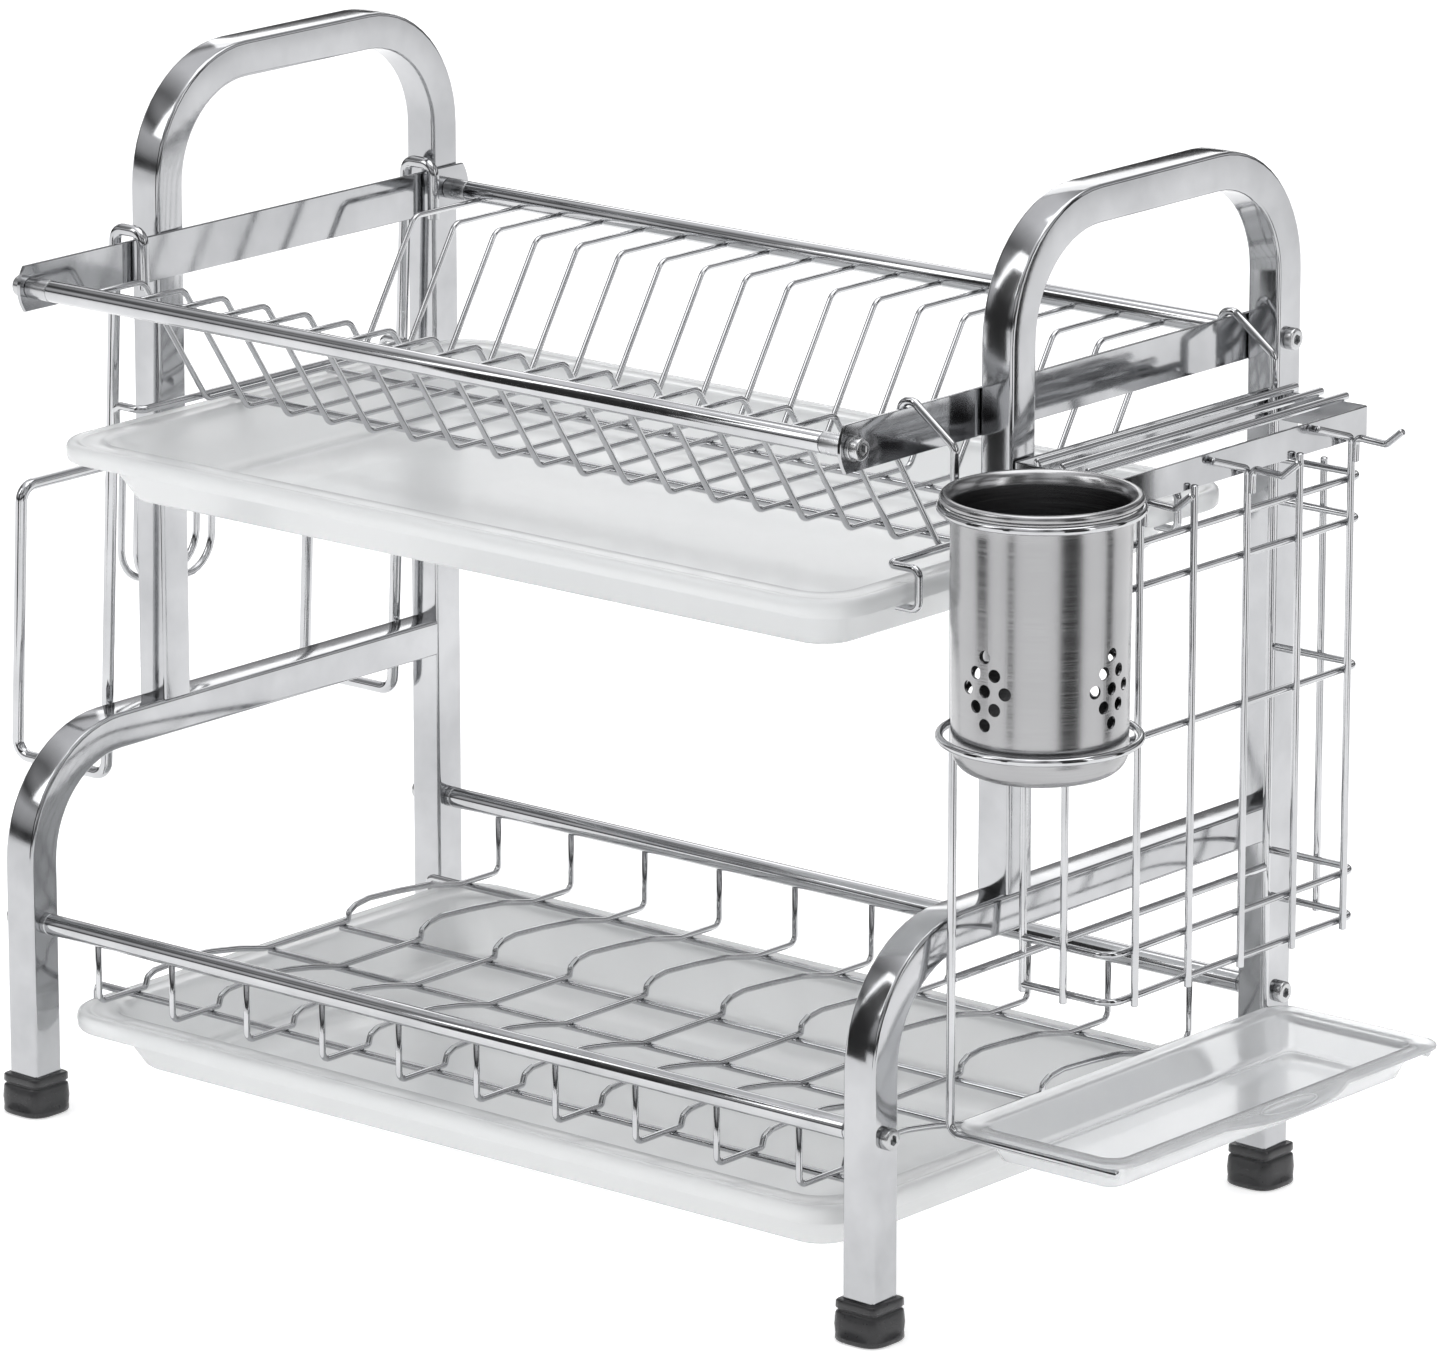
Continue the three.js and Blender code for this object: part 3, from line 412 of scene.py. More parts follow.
def hexagon(x, y, z, flats):
    ring = []
    for k in range(BOLT_SIDES):
        a = 2 * math.pi * k / BOLT_SIDES
        reach = flats / math.cos((a + math.pi / 6) % (math.pi / 3) - math.pi / 6)
        ring.append(at(x, y + reach * math.cos(a), z + reach * math.sin(a)))
    return ring


for rail in RAILS:
    for side in ("left", "right"):
        low, high = span(f"bolt_{rail}_{side}")
        y, z = (low.y + high.y) / 2, (low.z + high.z) / 2
        r = (high.z - low.z) / 2
        crown = low.x if side == "left" else high.x
        step = 1 if side == "left" else -1
        stations = [(HEAD + 0.28, r - 1.9), (HEAD + 0.28, r - 0.3), (HEAD - 0.1, r), (1.0, r)]
        for k in range(5):
            a = math.radians(22.5 * k)
            stations.append((1 - math.sin(a), r - 1 + math.cos(a)))
        rings = [circle(crown + step * deep, y, z, wide, BOLT_SIDES) for deep, wide in stations]
        for deep, flats in ((0.03, SOCKET + 0.22), (0.25, SOCKET), (2.0, SOCKET)):
            rings.append(hexagon(crown + step * deep, y, z, flats))
        rings.append(circle(crown + step * 2.5, y, z, 0.4, BOLT_SIDES))
        piece = loft(f"screw_{rail}_{side}", rings, BOLT_STEEL, sharp=30)
        stand_for(piece, f"bolt_{rail}_{side}", "rack")
for side in ("left", "right"):
    low, high = span("washer_" + side)
    y, z, r = (low.y + high.y) / 2, (low.z + high.z) / 2, (high.z - low.z) / 2
    stations = [
        (low.x - 0.2, r - 2.0), (low.x - 0.2, r - 0.25), (low.x, r), (high.x, r),
        (high.x + 0.2, r - 0.25), (high.x + 0.2, r - 2.0),
    ]
    piece = turned("disc_" + side, stations, y, z, BOLT_STEEL)
    stand_for(piece, "washer_" + side, "rack")


# ---- Wire work ------------------------------------------------------------------------------
# One geometry node tree turns runs of corner points into round bent wire. Corners take their
# own bend radius, ends are slightly rounded, and a marked run is repeated across the rack.
def wire_tree():
    tree = bpy.data.node_groups.new("bent_wire", "GeometryNodeTree")
    face = tree.interface
    face.new_socket("Geometry", in_out="INPUT", socket_type="NodeSocketGeometry")
    sides = face.new_socket("Sides", in_out="INPUT", socket_type="NodeSocketInt")
    copies = face.new_socket("Copies", in_out="INPUT", socket_type="NodeSocketInt")
    pitch = face.new_socket("Pitch", in_out="INPUT", socket_type="NodeSocketVector")
    finish = face.new_socket("Finish", in_out="INPUT", socket_type="NodeSocketMaterial")
    face.new_socket("Geometry", in_out="OUTPUT", socket_type="NodeSocketGeometry")
    new, link = tree.nodes.new, tree.links.new
    source, result = new("NodeGroupInput"), new("NodeGroupOutput")

    def named(attribute, kind):
        made = new("GeometryNodeInputNamedAttribute")
        made.data_type = kind
        made.inputs["Name"].default_value = attribute
        return made.outputs["Attribute"]

    curve = new("GeometryNodeMeshToCurve")
    link(source.outputs["Geometry"], curve.inputs["Mesh"])
    fillet = new("GeometryNodeFilletCurve")
    fillet.mode = "POLY"
    fillet.inputs["Count"].default_value = 7
    fillet.inputs["Limit Radius"].default_value = True
    link(curve.outputs["Curve"], fillet.inputs["Curve"])
    link(named("bend", "FLOAT"), fillet.inputs["Radius"])
    ring = new("GeometryNodeCurvePrimitiveCircle")
    ring.mode = "RADIUS"
    ring.inputs["Radius"].default_value = 1.0
    link(source.outputs["Sides"], ring.inputs["Resolution"])
    skin = new("GeometryNodeCurveToMesh")
    skin.inputs["Fill Caps"].default_value = True
    link(fillet.outputs["Curve"], skin.inputs["Curve"])
    link(named("thick", "FLOAT"), skin.inputs["Scale"])
    link(ring.outputs["Curve"], skin.inputs["Profile Curve"])
    part = new("GeometryNodeSeparateGeometry")
    part.domain = "POINT"
    above = new("ShaderNodeMath")
    above.operation = "GREATER_THAN"
    above.inputs[1].default_value = 0.5
    link(named("repeat", "FLOAT"), above.inputs[0])
    link(skin.outputs["Mesh"], part.inputs["Geometry"])
    link(above.outputs[0], part.inputs["Selection"])
    row = new("GeometryNodeMeshLine")
    row.mode = "OFFSET"
    link(source.outputs["Copies"], row.inputs["Count"])
    link(source.outputs["Pitch"], row.inputs["Offset"])
    spread = new("GeometryNodeInstanceOnPoints")
    link(row.outputs["Mesh"], spread.inputs["Points"])
    link(part.outputs["Selection"], spread.inputs["Instance"])
    together = new("GeometryNodeJoinGeometry")
    link(part.outputs["Inverted"], together.inputs["Geometry"])
    link(spread.outputs["Instances"], together.inputs["Geometry"])
    real = new("GeometryNodeRealizeInstances")
    link(together.outputs["Geometry"], real.inputs["Geometry"])
    coat = new("GeometryNodeSetMaterial")
    link(real.outputs["Geometry"], coat.inputs["Geometry"])
    link(source.outputs["Finish"], coat.inputs["Material"])
    link(coat.outputs["Geometry"], result.inputs["Geometry"])
    return tree, sides.identifier, copies.identifier, pitch.identifier, finish.identifier


WIRE_TREE = wire_tree()
NIB, NIB_TAPER = 0.00035, 0.72  # a wire narrows to this much of itself over its last bit


def wires(name, runs, node, body, material=WIRE_STEEL, sides=18, copies=1, pitch=0.0):
    verts, edges, bends, thicks, repeats = [], [], [], [], []
    for run in runs:
        points, dia, bend = list(run["points"]), run["dia"], run["bend"]
        first = (points[1] - points[0]).normalized()
        last = (points[-2] - points[-1]).normalized()
        inner = [points[0] + first * NIB, *points[1:-1], points[-1] + last * NIB]
        chain = [points[0], *inner, points[-1]]
        base = len(verts)
        each = run.get("bends") or [bend] * (len(points) - 2)
        verts += chain
        edges += [(base + i, base + i + 1) for i in range(len(chain) - 1)]
        bends += [0.0, 0.0, *[b / 1000 for b in each], 0.0, 0.0]
        r = dia / 2000
        thicks += [r * NIB_TAPER, *[r] * (len(chain) - 2), r * NIB_TAPER]
        repeats += [1.0 if run.get("repeat") else 0.0] * len(chain)
    mesh = bpy.data.meshes.new(name + "_runs")
    mesh.from_pydata([tuple(v) for v in verts], edges, [])
    for key, values in (("bend", bends), ("thick", thicks), ("repeat", repeats)):
        mesh.attributes.new(key, "FLOAT", "POINT").data.foreach_set("value", values)
    carrier = bpy.data.objects.new(name + "_runs", mesh)
    bpy.context.collection.objects.link(carrier)
    mod = carrier.modifiers.new("bent_wire", "NODES")
    tree, sides_id, copies_id, pitch_id, finish_id = WIRE_TREE
    mod.node_group = tree
    mod[sides_id] = sides
    mod[copies_id] = copies
    mod[pitch_id] = (pitch / 1000, 0.0, 0.0)
    mod[finish_id] = material
    bpy.context.view_layer.update()
    graph = bpy.context.evaluated_depsgraph_get()
    solid = bpy.data.meshes.new_from_object(carrier.evaluated_get(graph))
    bpy.data.objects.remove(carrier)
    piece = finish_mesh(name, solid, material, 45)
    stand_for(piece, node, body)
    return piece


# ---- Plate row ------------------------------------------------------------------------------
# Bent wires run from rail to rail, dropping into a valley that two long wires carry. Their number
# and pitch are the CAD's, as are the bowl row's.
low, high = span("plate_rack_wires")
front_low, front_high = span("rail_upper_front")
rear_low = span("rail_upper_rear")[0]
count, pitch = 18, 20.68
first = WIDTH / 2 - (count - 1) / 2 * pitch
valley, shoulder = 267.5, (front_low.z + front_high.z) / 2 - 2
bow = [
    at(first, front_high.y - 0.6, shoulder),
    at(first, 44.2, shoulder),
    at(first, 77.7, valley),
    at(first, 163.1, valley),
    at(first, 194.7, shoulder),
    at(first, rear_low.y + 0.6, shoulder),
]
bends = [5.5, 4.5, 4.5, 5.5]
runs = [{"points": bow, "dia": 2.2, "bend": 5, "bends": bends, "repeat": True}]
for y in (96.3, 150):
    ends = [at(low.x, y, valley - 2.35), at(high.x, y, valley - 2.35)]
    runs.append({"points": ends, "dia": 2.8, "bend": 0})
wires("plate_row", runs, "plate_rack_wires", "rack", copies=count, pitch=pitch, sides=14)

# ---- Tray hangers ---------------------------------------------------------------------------
# A wire each side lies on the long wires; its four ends turn out, down and in under the rim.
for side in ("left", "right"):
    low, high = span("tray_hanger_" + side)
    r = 1.5  # half the wire
    out, near = (low.x + r, high.x - r) if side == "left" else (high.x - r, low.x + r)
    tip = out + (10 if side == "left" else -10)
    front, rear = low.y + r, high.y - r
    under, over = low.z + r, high.z - r - 0.2
    run = [
        at(tip, front, under), at(out, front, under), at(out, front, over), at(near, front, over),
        at(near, rear, over), at(out, rear, over), at(out, rear, under), at(tip, rear, under),
    ]
    wires("hanger_" + side, [{"points": run, "dia": 3, "bend": 3}], "tray_hanger_" + side, "rack")

# ---- Drip trays -----------------------------------------------------------------------------
# Thin white moulded trays: rolled rim with a bead and a groove, sloped walls, stepped floor
# with shallow ribs.
look = Look("white_plastic")
milk = look.noise(9, 2)
WHITE = look.surface(
    Base_Color=look.between(milk, (0.93, 0.945, 0.95, 1), (0.975, 0.98, 0.98, 1)),
    Roughness=look.fit(look.noise(30, 2), 0.3, 0.7, 0.20, 0.27),
    IOR=1.49,
    Transmission_Weight=0.42,
    Normal=look.bump(look.noise(14, 1), 0.0003, 0.2),
)


def plan(low, high, inset_x, inset_y, r, z, steps=10):
    x0, x1 = low.x + inset_x, high.x - inset_x
    y0, y1 = low.y + inset_y, high.y - inset_y
    shape = rounded(x1 - x0, y1 - y0, r, steps)
    return [at((x0 + x1) / 2 + a, (y0 + y1) / 2 + b, z) for a, b in shape]


for node, body in (("upper_drip_tray", "upper_tray"), ("lower_drip_tray", "lower_tray")):
    low, high = span(node)
    top, bottom = high.z, low.z
    # Each row is an inset across, an inset along, a corner radius and a height.
    under = [
        (1.9, 1.9, 18.2, top - 6.6), (1.7, 1.7, 18.4, top - 3.0), (2.2, 2.2, 18.0, top - 1.9),
        (3.4, 3.4, 17, top - 1.6), (10.2, 10.2, 12, top - 1.9), (11.2, 11.2, 11, top - 2.6),
        (19.6, 20.6, 12.4, bottom + 1.1), (20.6, 21.6, 12.2, bottom + 0.2),
        (22.5, 23.5, 11.5, bottom), (60, 60, 6, bottom), (100, 90, 4, bottom),
    ]
    over = [
        (100, 90, 4, bottom + 1.5), (60, 60, 6, bottom + 1.5), (35.6, 36.6, 8, bottom + 1.5),
        (35, 36, 8.2, bottom + 2.0), (27.6, 28.6, 10, bottom + 2.0), (27, 28, 10, bottom + 1.5),
        (23.6, 24.6, 11, bottom + 1.6), (22.0, 23.0, 12, bottom + 2.2),
        (20.9, 21.9, 12.6, bottom + 3.4), (13.2, 13.2, 14.0, top - 1.8),
        (12.2, 12.2, 14.8, top - 0.75), (11.2, 11.2, 15.2, top - 0.45),
        (5.2, 5.2, 17.2, top - 0.45), (4.5, 4.5, 17.4, top - 0.75), (3.9, 3.9, 17.6, top - 0.45),
        (2.6, 2.6, 18.2, top - 0.02), (1.4, 1.4, 18.9, top - 0.2), (0.5, 0.5, 19.6, top - 0.9),
        (0.08, 0.08, 19.9, top - 2.1), (0.0, 0.0, 20, top - 3.4), (0.25, 0.25, 19.8, top - 6.2),
        (0.8, 0.8, 19.4, top - 6.95), (1.5, 1.5, 18.8, top - 6.95),
    ]
    rings = [plan(low, high, *row) for row in under[::-1] + over[::-1]]
    piece = loft("tray_" + body, rings, WHITE, sharp=50)
    stand_for(piece, node, body)

# ---- Bowl row -------------------------------------------------------------------------------
# Wires drop from the lower rails and rise in two low waves; the outer long wires turn down and
# in at both ends to carry the lower tray.
low, high = span("bowl_rack_wires")
rail_low = span("rail_lower_front")[0]
count, pitch = 10, 37.77
first = WIDTH / 2 - (count - 1) / 2 * pitch
top, base, crest = rail_low.z + 0.5, 49.0, 55.0
# Each row is a depth, a height and a bend radius, from the front end to the rear one.
line = [
    (8, top, 0), (8, base, 3.4), (33, base, 1.2), (34.2, 52.6, 2.4), (38.0, 54.3, 4),
    (45, crest - 0.3, 12), (66, crest, 60), (84, 52.2, 60), (99, 48.9, 8), (146, base, 0.9),
    (146.6, 52.4, 2), (150.5, 54.5, 4), (158, crest + 0.5, 12), (174, 54.6, 50),
    (193, 52.9, 50), (210, 49.2, 8), (234, base, 3.4), (234, top, 0),
]
bow = [at(first, y, z) for y, z, _ in line]
bends = [b for _, _, b in line[1:-1]]
runs = [{"points": bow, "dia": 2.4, "bend": 3, "bends": bends, "repeat": True}]
for y in (29.5, 217.5):
    left, right = low.x + 1.4, high.x - 1.4
    hook = low.z + 1.5
    points = [
        at(left + 10, y, hook), at(left, y, hook), at(left, y, base - 2.4),
        at(right, y, base - 2.4), at(right, y, hook), at(right - 10, y, hook),
    ]
    runs.append({"points": points, "dia": 2.8, "bend": 3})
for y in (103.7, 144.1):
    points = [at(WIDTH / 2 - 172, y, base - 2.4), at(WIDTH / 2 + 172, y, base - 2.4)]
    runs.append({"points": points, "dia": 2.8, "bend": 0})
wires("bowl_row", runs, "bowl_rack_wires", "rack", copies=count, pitch=pitch, sides=14)

# ---- Board holder ---------------------------------------------------------------------------
# One heavy wire: two hooks over the left plate, legs down the arm's face, out and up to a bar.
low, high = span("board_holder_wire")
r, lean, arm_top = 2.3, 0.046, span("arm_tube_left")[1].z
inner = -r - 0.65


def leaning(x, z):
    return x + (z - arm_top) * lean


crest, foot, bar = high.z - r - 0.05, low.z + r, 224.0
crown = leaning(inner, crest)
far = leaning(inner, foot) - 47
bar_x = far + (bar - foot) * lean
front, rear = low.y + r, high.y - r


def board_leg(y):
    return [
        at(crown + 14, y, 310.2), at(crown + 14, y, crest), at(crown, y, crest),
        at(leaning(inner, foot), y, foot), at(far, y, foot), at(bar_x, y, bar),
    ]


run = board_leg(front) + list(reversed(board_leg(rear)))
bends = [4.6, 4.6, 6, 6, 6, 6, 6, 6, 4.6, 4.6]
holder = [{"points": run, "dia": 4.6, "bend": 6, "bends": bends}]
wires("board_wire", holder, "board_holder_wire", "board_holder", sides=28)
for which in ("inner", "outer"):
    low, high = span("board_loop_" + which)
    x_low, x_high = low.x + 1.5, high.x - 1.5
    points = [
        at(x_high, low.y + 1.6, high.z), at(x_low, low.y + 1.6, low.z + 1.6),
        at(x_low, high.y - 1.6, low.z + 1.6), at(x_high, high.y - 1.6, high.z),
    ]
    loop = [{"points": points, "dia": 3, "bend": 14}]
    wires("loop_" + which, loop, "board_loop_" + which, "board_holder")

# ---- Caddy wires ----------------------------------------------------------------------------
# Two hook wires hang on the right plate and turn out below as prongs; a cross wire joins them.
for end in ("front", "rear"):
    low, high = span("caddy_hook_" + end)
    y, r = (low.y + high.y) / 2, 1.55
    leg, crest = low.x + r + 0.05, high.z - r - 0.06
    hang = span("caddy_cross_wire")
    hang_x = (hang[0].x + hang[1].x) / 2
    prong = low.z + r + 0.05
    points = [
        at(leg, y, span("side_plate_right")[0].z + 6), at(leg, y, crest), at(leg + 6, y, crest),
        at(hang_x, y, crest - 13.3), at(hang_x, y, prong), at(high.x, y, prong),
    ]
    hook = [{"points": points, "dia": 3.1, "bend": 4}]
    wires("hook_" + end, hook, "caddy_hook_" + end, "caddy")
low, high = span("caddy_cross_wire")
x, z = (low.x + high.x) / 2, (low.z + high.z) / 2
cross = [{"points": [at(x, low.y - 0.6, z), at(x, high.y + 0.6, z)], "dia": 3, "bend": 0}]
wires("cross_wire", cross, "caddy_cross_wire", "caddy")

# ---- Knife band -----------------------------------------------------------------------------
# A flat strip folded into a long rectangle; three wires across its ends part the blades.
low, high = span("knife_band")
outer = (high.x - low.x, high.y - low.y)
middle = ((low.x + high.x) / 2, (low.y + high.y) / 2)


def strip_ring(inset, z, r):
    shape = rounded(outer[0] - 2 * inset, outer[1] - 2 * inset, r, 5)
    return [at(middle[0] + a, middle[1] + b, z) for a, b in shape]


rings = [
    strip_ring(0.25, low.z, 1.2), strip_ring(0.0, low.z + 0.25, 1.4),
    strip_ring(0.0, high.z - 0.25, 1.4), strip_ring(0.25, high.z, 1.2),
    strip_ring(0.95, high.z, 0.7), strip_ring(1.2, high.z - 0.25, 0.5),
    strip_ring(1.2, low.z + 0.25, 0.5), strip_ring(0.95, low.z, 0.7),
]
piece = loft("folded_strip", rings, PLATE_STEEL, closed=True, sharp=30)
stand_for(piece, "knife_band", "caddy")
for i in (1, 2, 3):
    low, high = span(f"knife_wire_{i}")
    x, z = (low.x + high.x) / 2, (low.z + high.z) / 2 - 0.25
    bar = [{"points": [at(x, low.y, z), at(x, high.y, z)], "dia": 3, "bend": 0}]
    wires(f"parting_wire_{i}", bar, f"knife_wire_{i}", "caddy")

# ---- Basket ---------------------------------------------------------------------------------
# Hoops open towards the frame, uprights outside them, three with a tail along the band.
low, high = span("basket_wires")
band_low, band_high = span("knife_band")
hang = span("caddy_cross_wire")
hang_x = (hang[0].x + hang[1].x) / 2
r = 1.35
vertical_x = high.x - r - 0.12
hoop_x = vertical_x - 2.4
front, rear = 75.3, 219.5
foot = low.z + 0.05
runs = []
for z in (279.6, 264, 209.8, 133.5, 116.3):
    points = [
        at(hang_x, front, z), at(hoop_x, front, z), at(hoop_x, rear, z), at(hang_x + 1.2, rear, z)
    ]
    runs.append({"points": points, "dia": 2.7, "bend": 6})
for i in range(5):
    y = 86.3 + i * 30.7
    points = [at(vertical_x, y, foot), at(vertical_x, y, band_low.z + 2)]
    if i in (0, 2, 4):
        points.append(at(vertical_x, max(y - 21, 77), band_high.z - 2.35))
    runs.append({"points": points, "dia": 2.7, "bend": 3})
for y in (front - 2.4, rear + 2.4):
    points = [at(hang_x + 20, y, foot), at(hang_x + 20, y, 282.6)]
    runs.append({"points": points, "dia": 2.7, "bend": 0})
points = [at(hang_x, front, foot), at(hang_x, front, band_low.z + 0.4)]
runs.append({"points": points, "dia": 2.7, "bend": 0})
wires("basket", runs, "basket_wires", "caddy")

# ---- Utensil hooks --------------------------------------------------------------------------
# Short wires on the tailed uprights, out level and up at the tip.
for i in (1, 2, 3):
    low, high = span(f"utensil_hook_{i}")
    y, x, r = (low.y + high.y) / 2, low.x + 1.4, 1.35
    level = high.z - 5 - 1.2
    points = [
        at(x - 1.4, y, low.z), at(x - 1.2, y, level), at(x + 12, y, level - 0.6),
        at(high.x - 0.9, y, high.z - 0.9),
    ]
    peg = [{"points": points, "dia": 2.7, "bend": 2.4}]
    wires(f"peg_{i}", peg, f"utensil_hook_{i}", "caddy")

# ---- Cup rings ------------------------------------------------------------------------------
# Two closed wire rings hold the cup under its rim and near its foot.
for which in ("upper", "lower"):
    low, high = span("cup_ring_" + which)
    cx, cy, cz = ((low + high) / 2)[:]
    thin = 1.5  # half the wire
    big = (high.x - low.x) / 2 - thin
    rings = []
    for k in range(120):
        a = 2 * math.pi * k / 120
        ring = []
        for m in range(18):
            b = 2 * math.pi * m / 18
            reach, rise = big + thin * math.cos(b), thin * math.sin(b)
            ring.append(at(cx + reach * math.cos(a), cy + reach * math.sin(a), cz + rise))
        rings.append(ring)
    piece = loft("ring_" + which, rings, WIRE_STEEL, closed=True, sharp=60)
    stand_for(piece, "cup_ring_" + which, "caddy")

# ---- Cutlery cup ----------------------------------------------------------------------------
# Spun stainless cup: rolled rim, straight wall, rounded foot, four diamonds of drain holes, and
# brushing that runs round the wall.
look = Look("brushed_steel")
lines = look.noise(1500, 3, (0.02, 0.02, 1), 0.7)
broad = look.noise(60, 3, (0.25, 0.25, 1))
BRUSHED = look.surface(
    Base_Color=look.between(
        lines * 0.6 + broad * 0.4, (0.30, 0.30, 0.305, 1), (0.44, 0.44, 0.445, 1)
    ),
    Metallic=1.0,
    Roughness=look.fit(lines, 0.3, 0.7, 0.16, 0.25),
    Anisotropic=0.5,
    Normal=look.bump(lines, 0.00003, 0.5),
)
low, high = span("utensil_cup")
cx, cy = (low.x + high.x) / 2, (low.y + high.y) / 2
bottom, top = low.z, high.z
wall, bead = 31.2, 1.7
rim_z = top - bead
profile = [(0.01, bottom + 0.6), (20.0, bottom + 0.4), (21.6, bottom)]
for k in range(9):
    a = math.radians(11.25 * k)
    profile.append((wall - 8.6 + 8 * math.sin(a), bottom + 8 - 8 * math.cos(a)))
profile += [(wall - 0.5, bottom + 20), (wall, top - 12)]
profile += [(wall, top - 5.5), (wall + 0.25, top - 4.4)]
centre = wall + bead + 0.6
for k in range(13):
    a = math.radians(-150 + 300 * k / 12)
    profile.append((centre + bead * math.cos(a), rim_z + bead * math.sin(a)))
profile += [(wall - 0.6, top - 2.4), (wall - 0.9, top - 5), (wall - 1.4, bottom + 20)]
for k in range(8, -1, -1):
    a = math.radians(11.25 * k)
    profile.append((wall - 9.5 + 8 * math.sin(a), bottom + 8.9 - 8 * math.cos(a)))
profile += [(20.0, bottom + 1.3), (0.01, bottom + 1.5)]
rings = []
for rr, z in profile:
    turns = (2 * math.pi * k / 128 for k in range(128))
    rings.append([at(cx + rr * math.cos(a), cy + rr * math.sin(a), z) for a in turns])
cup = loft("cup", rings, BRUSHED, sharp=40)
HOLE, ACROSS, DOWN, DIAMOND = 2.35, 4.05, 6, 34  # hole radius, pitches, and the diamond's height
cutters = []
for quarter in range(4):
    for row in range(-2, 3):
        across = 2 - abs(row)
        for col in range(-across, across + 1, 2):
            a = math.pi / 2 * quarter + col * ACROSS / wall
            away = Vector((math.cos(a), math.sin(a), 0))
            side = Vector((-math.sin(a), math.cos(a), 0))
            mid = Vector((cx, cy, bottom + DIAMOND + row * DOWN))
            both = []
            for reach in (wall - 4, wall + 4):
                ring = []
                for k in range(20):
                    t = 2 * math.pi * k / 20
                    edge = away * reach + side * (HOLE * math.cos(t))
                    edge += Vector((0, 0, HOLE * math.sin(t)))
                    ring.append(at(*(mid + edge)))
                both.append(ring)
            cutters.append(loft("punch", both, BRUSHED))
work = bmesh.new()
for cutter in cutters:
    work.from_mesh(cutter.data)
    bpy.data.objects.remove(cutter)
punch_mesh = bpy.data.meshes.new("punches")
work.to_mesh(punch_mesh)
work.free()
punches = bpy.data.objects.new("punches", punch_mesh)
bpy.context.collection.objects.link(punches)
cut = cup.modifiers.new("holes", "BOOLEAN")
cut.operation, cut.solver, cut.object = "DIFFERENCE", "EXACT", punches
bpy.context.view_layer.update()
graph = bpy.context.evaluated_depsgraph_get()
holed = bpy.data.meshes.new_from_object(cup.evaluated_get(graph))
cup.modifiers.clear()
cup.data = holed
bpy.data.objects.remove(punches)
holed.set_sharp_from_angle(angle=math.radians(40))
holed.materials.clear()
holed.materials.append(BRUSHED)
stand_for(cup, "utensil_cup", "cup")

# ---- Small tray -----------------------------------------------------------------------------
# Clear moulded tray: flat rim on the prongs, sloped well, rounded finger tab with a raised oval.
look = Look("clear_plastic")
flow = look.noise(60, 3)
CLEAR = look.surface(
    Base_Color=look.between(flow, (0.93, 0.945, 0.955, 1), (0.975, 0.98, 0.985, 1)),
    Roughness=look.fit(look.noise(40, 2), 0.3, 0.7, 0.10, 0.16),
    IOR=1.46,
    Transmission_Weight=0.62,
    Normal=look.bump(flow, 0.0001, 0.15),
)
TAB_REACH, TAB_HALF = 8.0, 31  # how far the finger tab stands out, and half its width
low, high = span("small_drip_tray")
x0, x1 = low.x, high.x - TAB_REACH
y0, y1 = low.y, high.y
top, bottom = high.z, low.z


def tab_out(y, reach):
    t = (y - (y0 + y1) / 2) / TAB_HALF
    return reach * math.sqrt(max(0.0, 1 - t * t)) if abs(t) < 1 else 0.0


def tray_ring(side, end, r, z, tab=0.0):
    w, h = x1 - x0 - 2 * side, y1 - y0 - 2 * end
    corners = rounded(w, h, r, 8)
    out = []
    for (a, b), (c, d) in zip(corners, corners[1:] + corners[:1]):
        parts = 24 if abs(b - d) > h / 2 else (8 if abs(a - c) > w / 2 else 1)
        for k in range(parts):
            x = (x0 + x1) / 2 + a + (c - a) * k / parts
            y = (y0 + y1) / 2 + b + (d - b) * k / parts
            if tab and x > x1 - side - 0.01:
                x += tab_out(y, tab)
            out.append(at(x, y, z))
    return out


def rim_ring(inset, r, z, tab):
    return tray_ring(inset, inset, r, z, tab)


def well_ring(inset, r, z):
    return tray_ring(inset + 3, inset + 2, r, z)


under = [
    well_ring(24, 3, bottom), well_ring(10.5, 5, bottom), well_ring(8.7, 6, bottom + 0.9),
    well_ring(4.6, 7.6, top - 2.6), well_ring(3.9, 8, top - 1.5),
    rim_ring(0.5, 9.6, top - 1.5, TAB_REACH), rim_ring(0.0, 10, top - 1.1, TAB_REACH),
]
over = [
    rim_ring(0.0, 10, top - 0.4, TAB_REACH), rim_ring(0.4, 9.7, top, TAB_REACH),
    rim_ring(1.5, 9, top - 0.05, TAB_REACH - 0.8),
    well_ring(5.0, 7.2, top - 0.1), well_ring(5.7, 6.8, top - 0.8),
    well_ring(9.8, 5.4, bottom + 2.2), well_ring(11.0, 5, bottom + 1.5),
    well_ring(14, 4, bottom + 1.5), well_ring(14.6, 4, bottom + 2.1),
    well_ring(16.2, 4, bottom + 2.1), well_ring(16.8, 4, bottom + 1.5),
    well_ring(24, 3, bottom + 1.5),
]
piece = loft("clear_tray", under + over, CLEAR, sharp=45)
stand_for(piece, "small_drip_tray", "small_tray")
oval = []
mid_y = (y0 + y1) / 2
for k in range(64):
    a = 2 * math.pi * k / 64
    ring = []
    for m in range(8):
        b = 2 * math.pi * m / 8
        rx, ry = 4.6 + 0.7 * math.cos(b), 15 + 0.7 * math.cos(b)
        x, y = x1 + 0.4 + rx * math.cos(a), mid_y + ry * math.sin(a)
        ring.append(at(x, y, top - 0.1 + 0.5 * math.sin(b)))
    oval.append(ring)
piece = loft("tab_oval", oval, CLEAR, closed=True, sharp=60)
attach(piece, "small_tray")

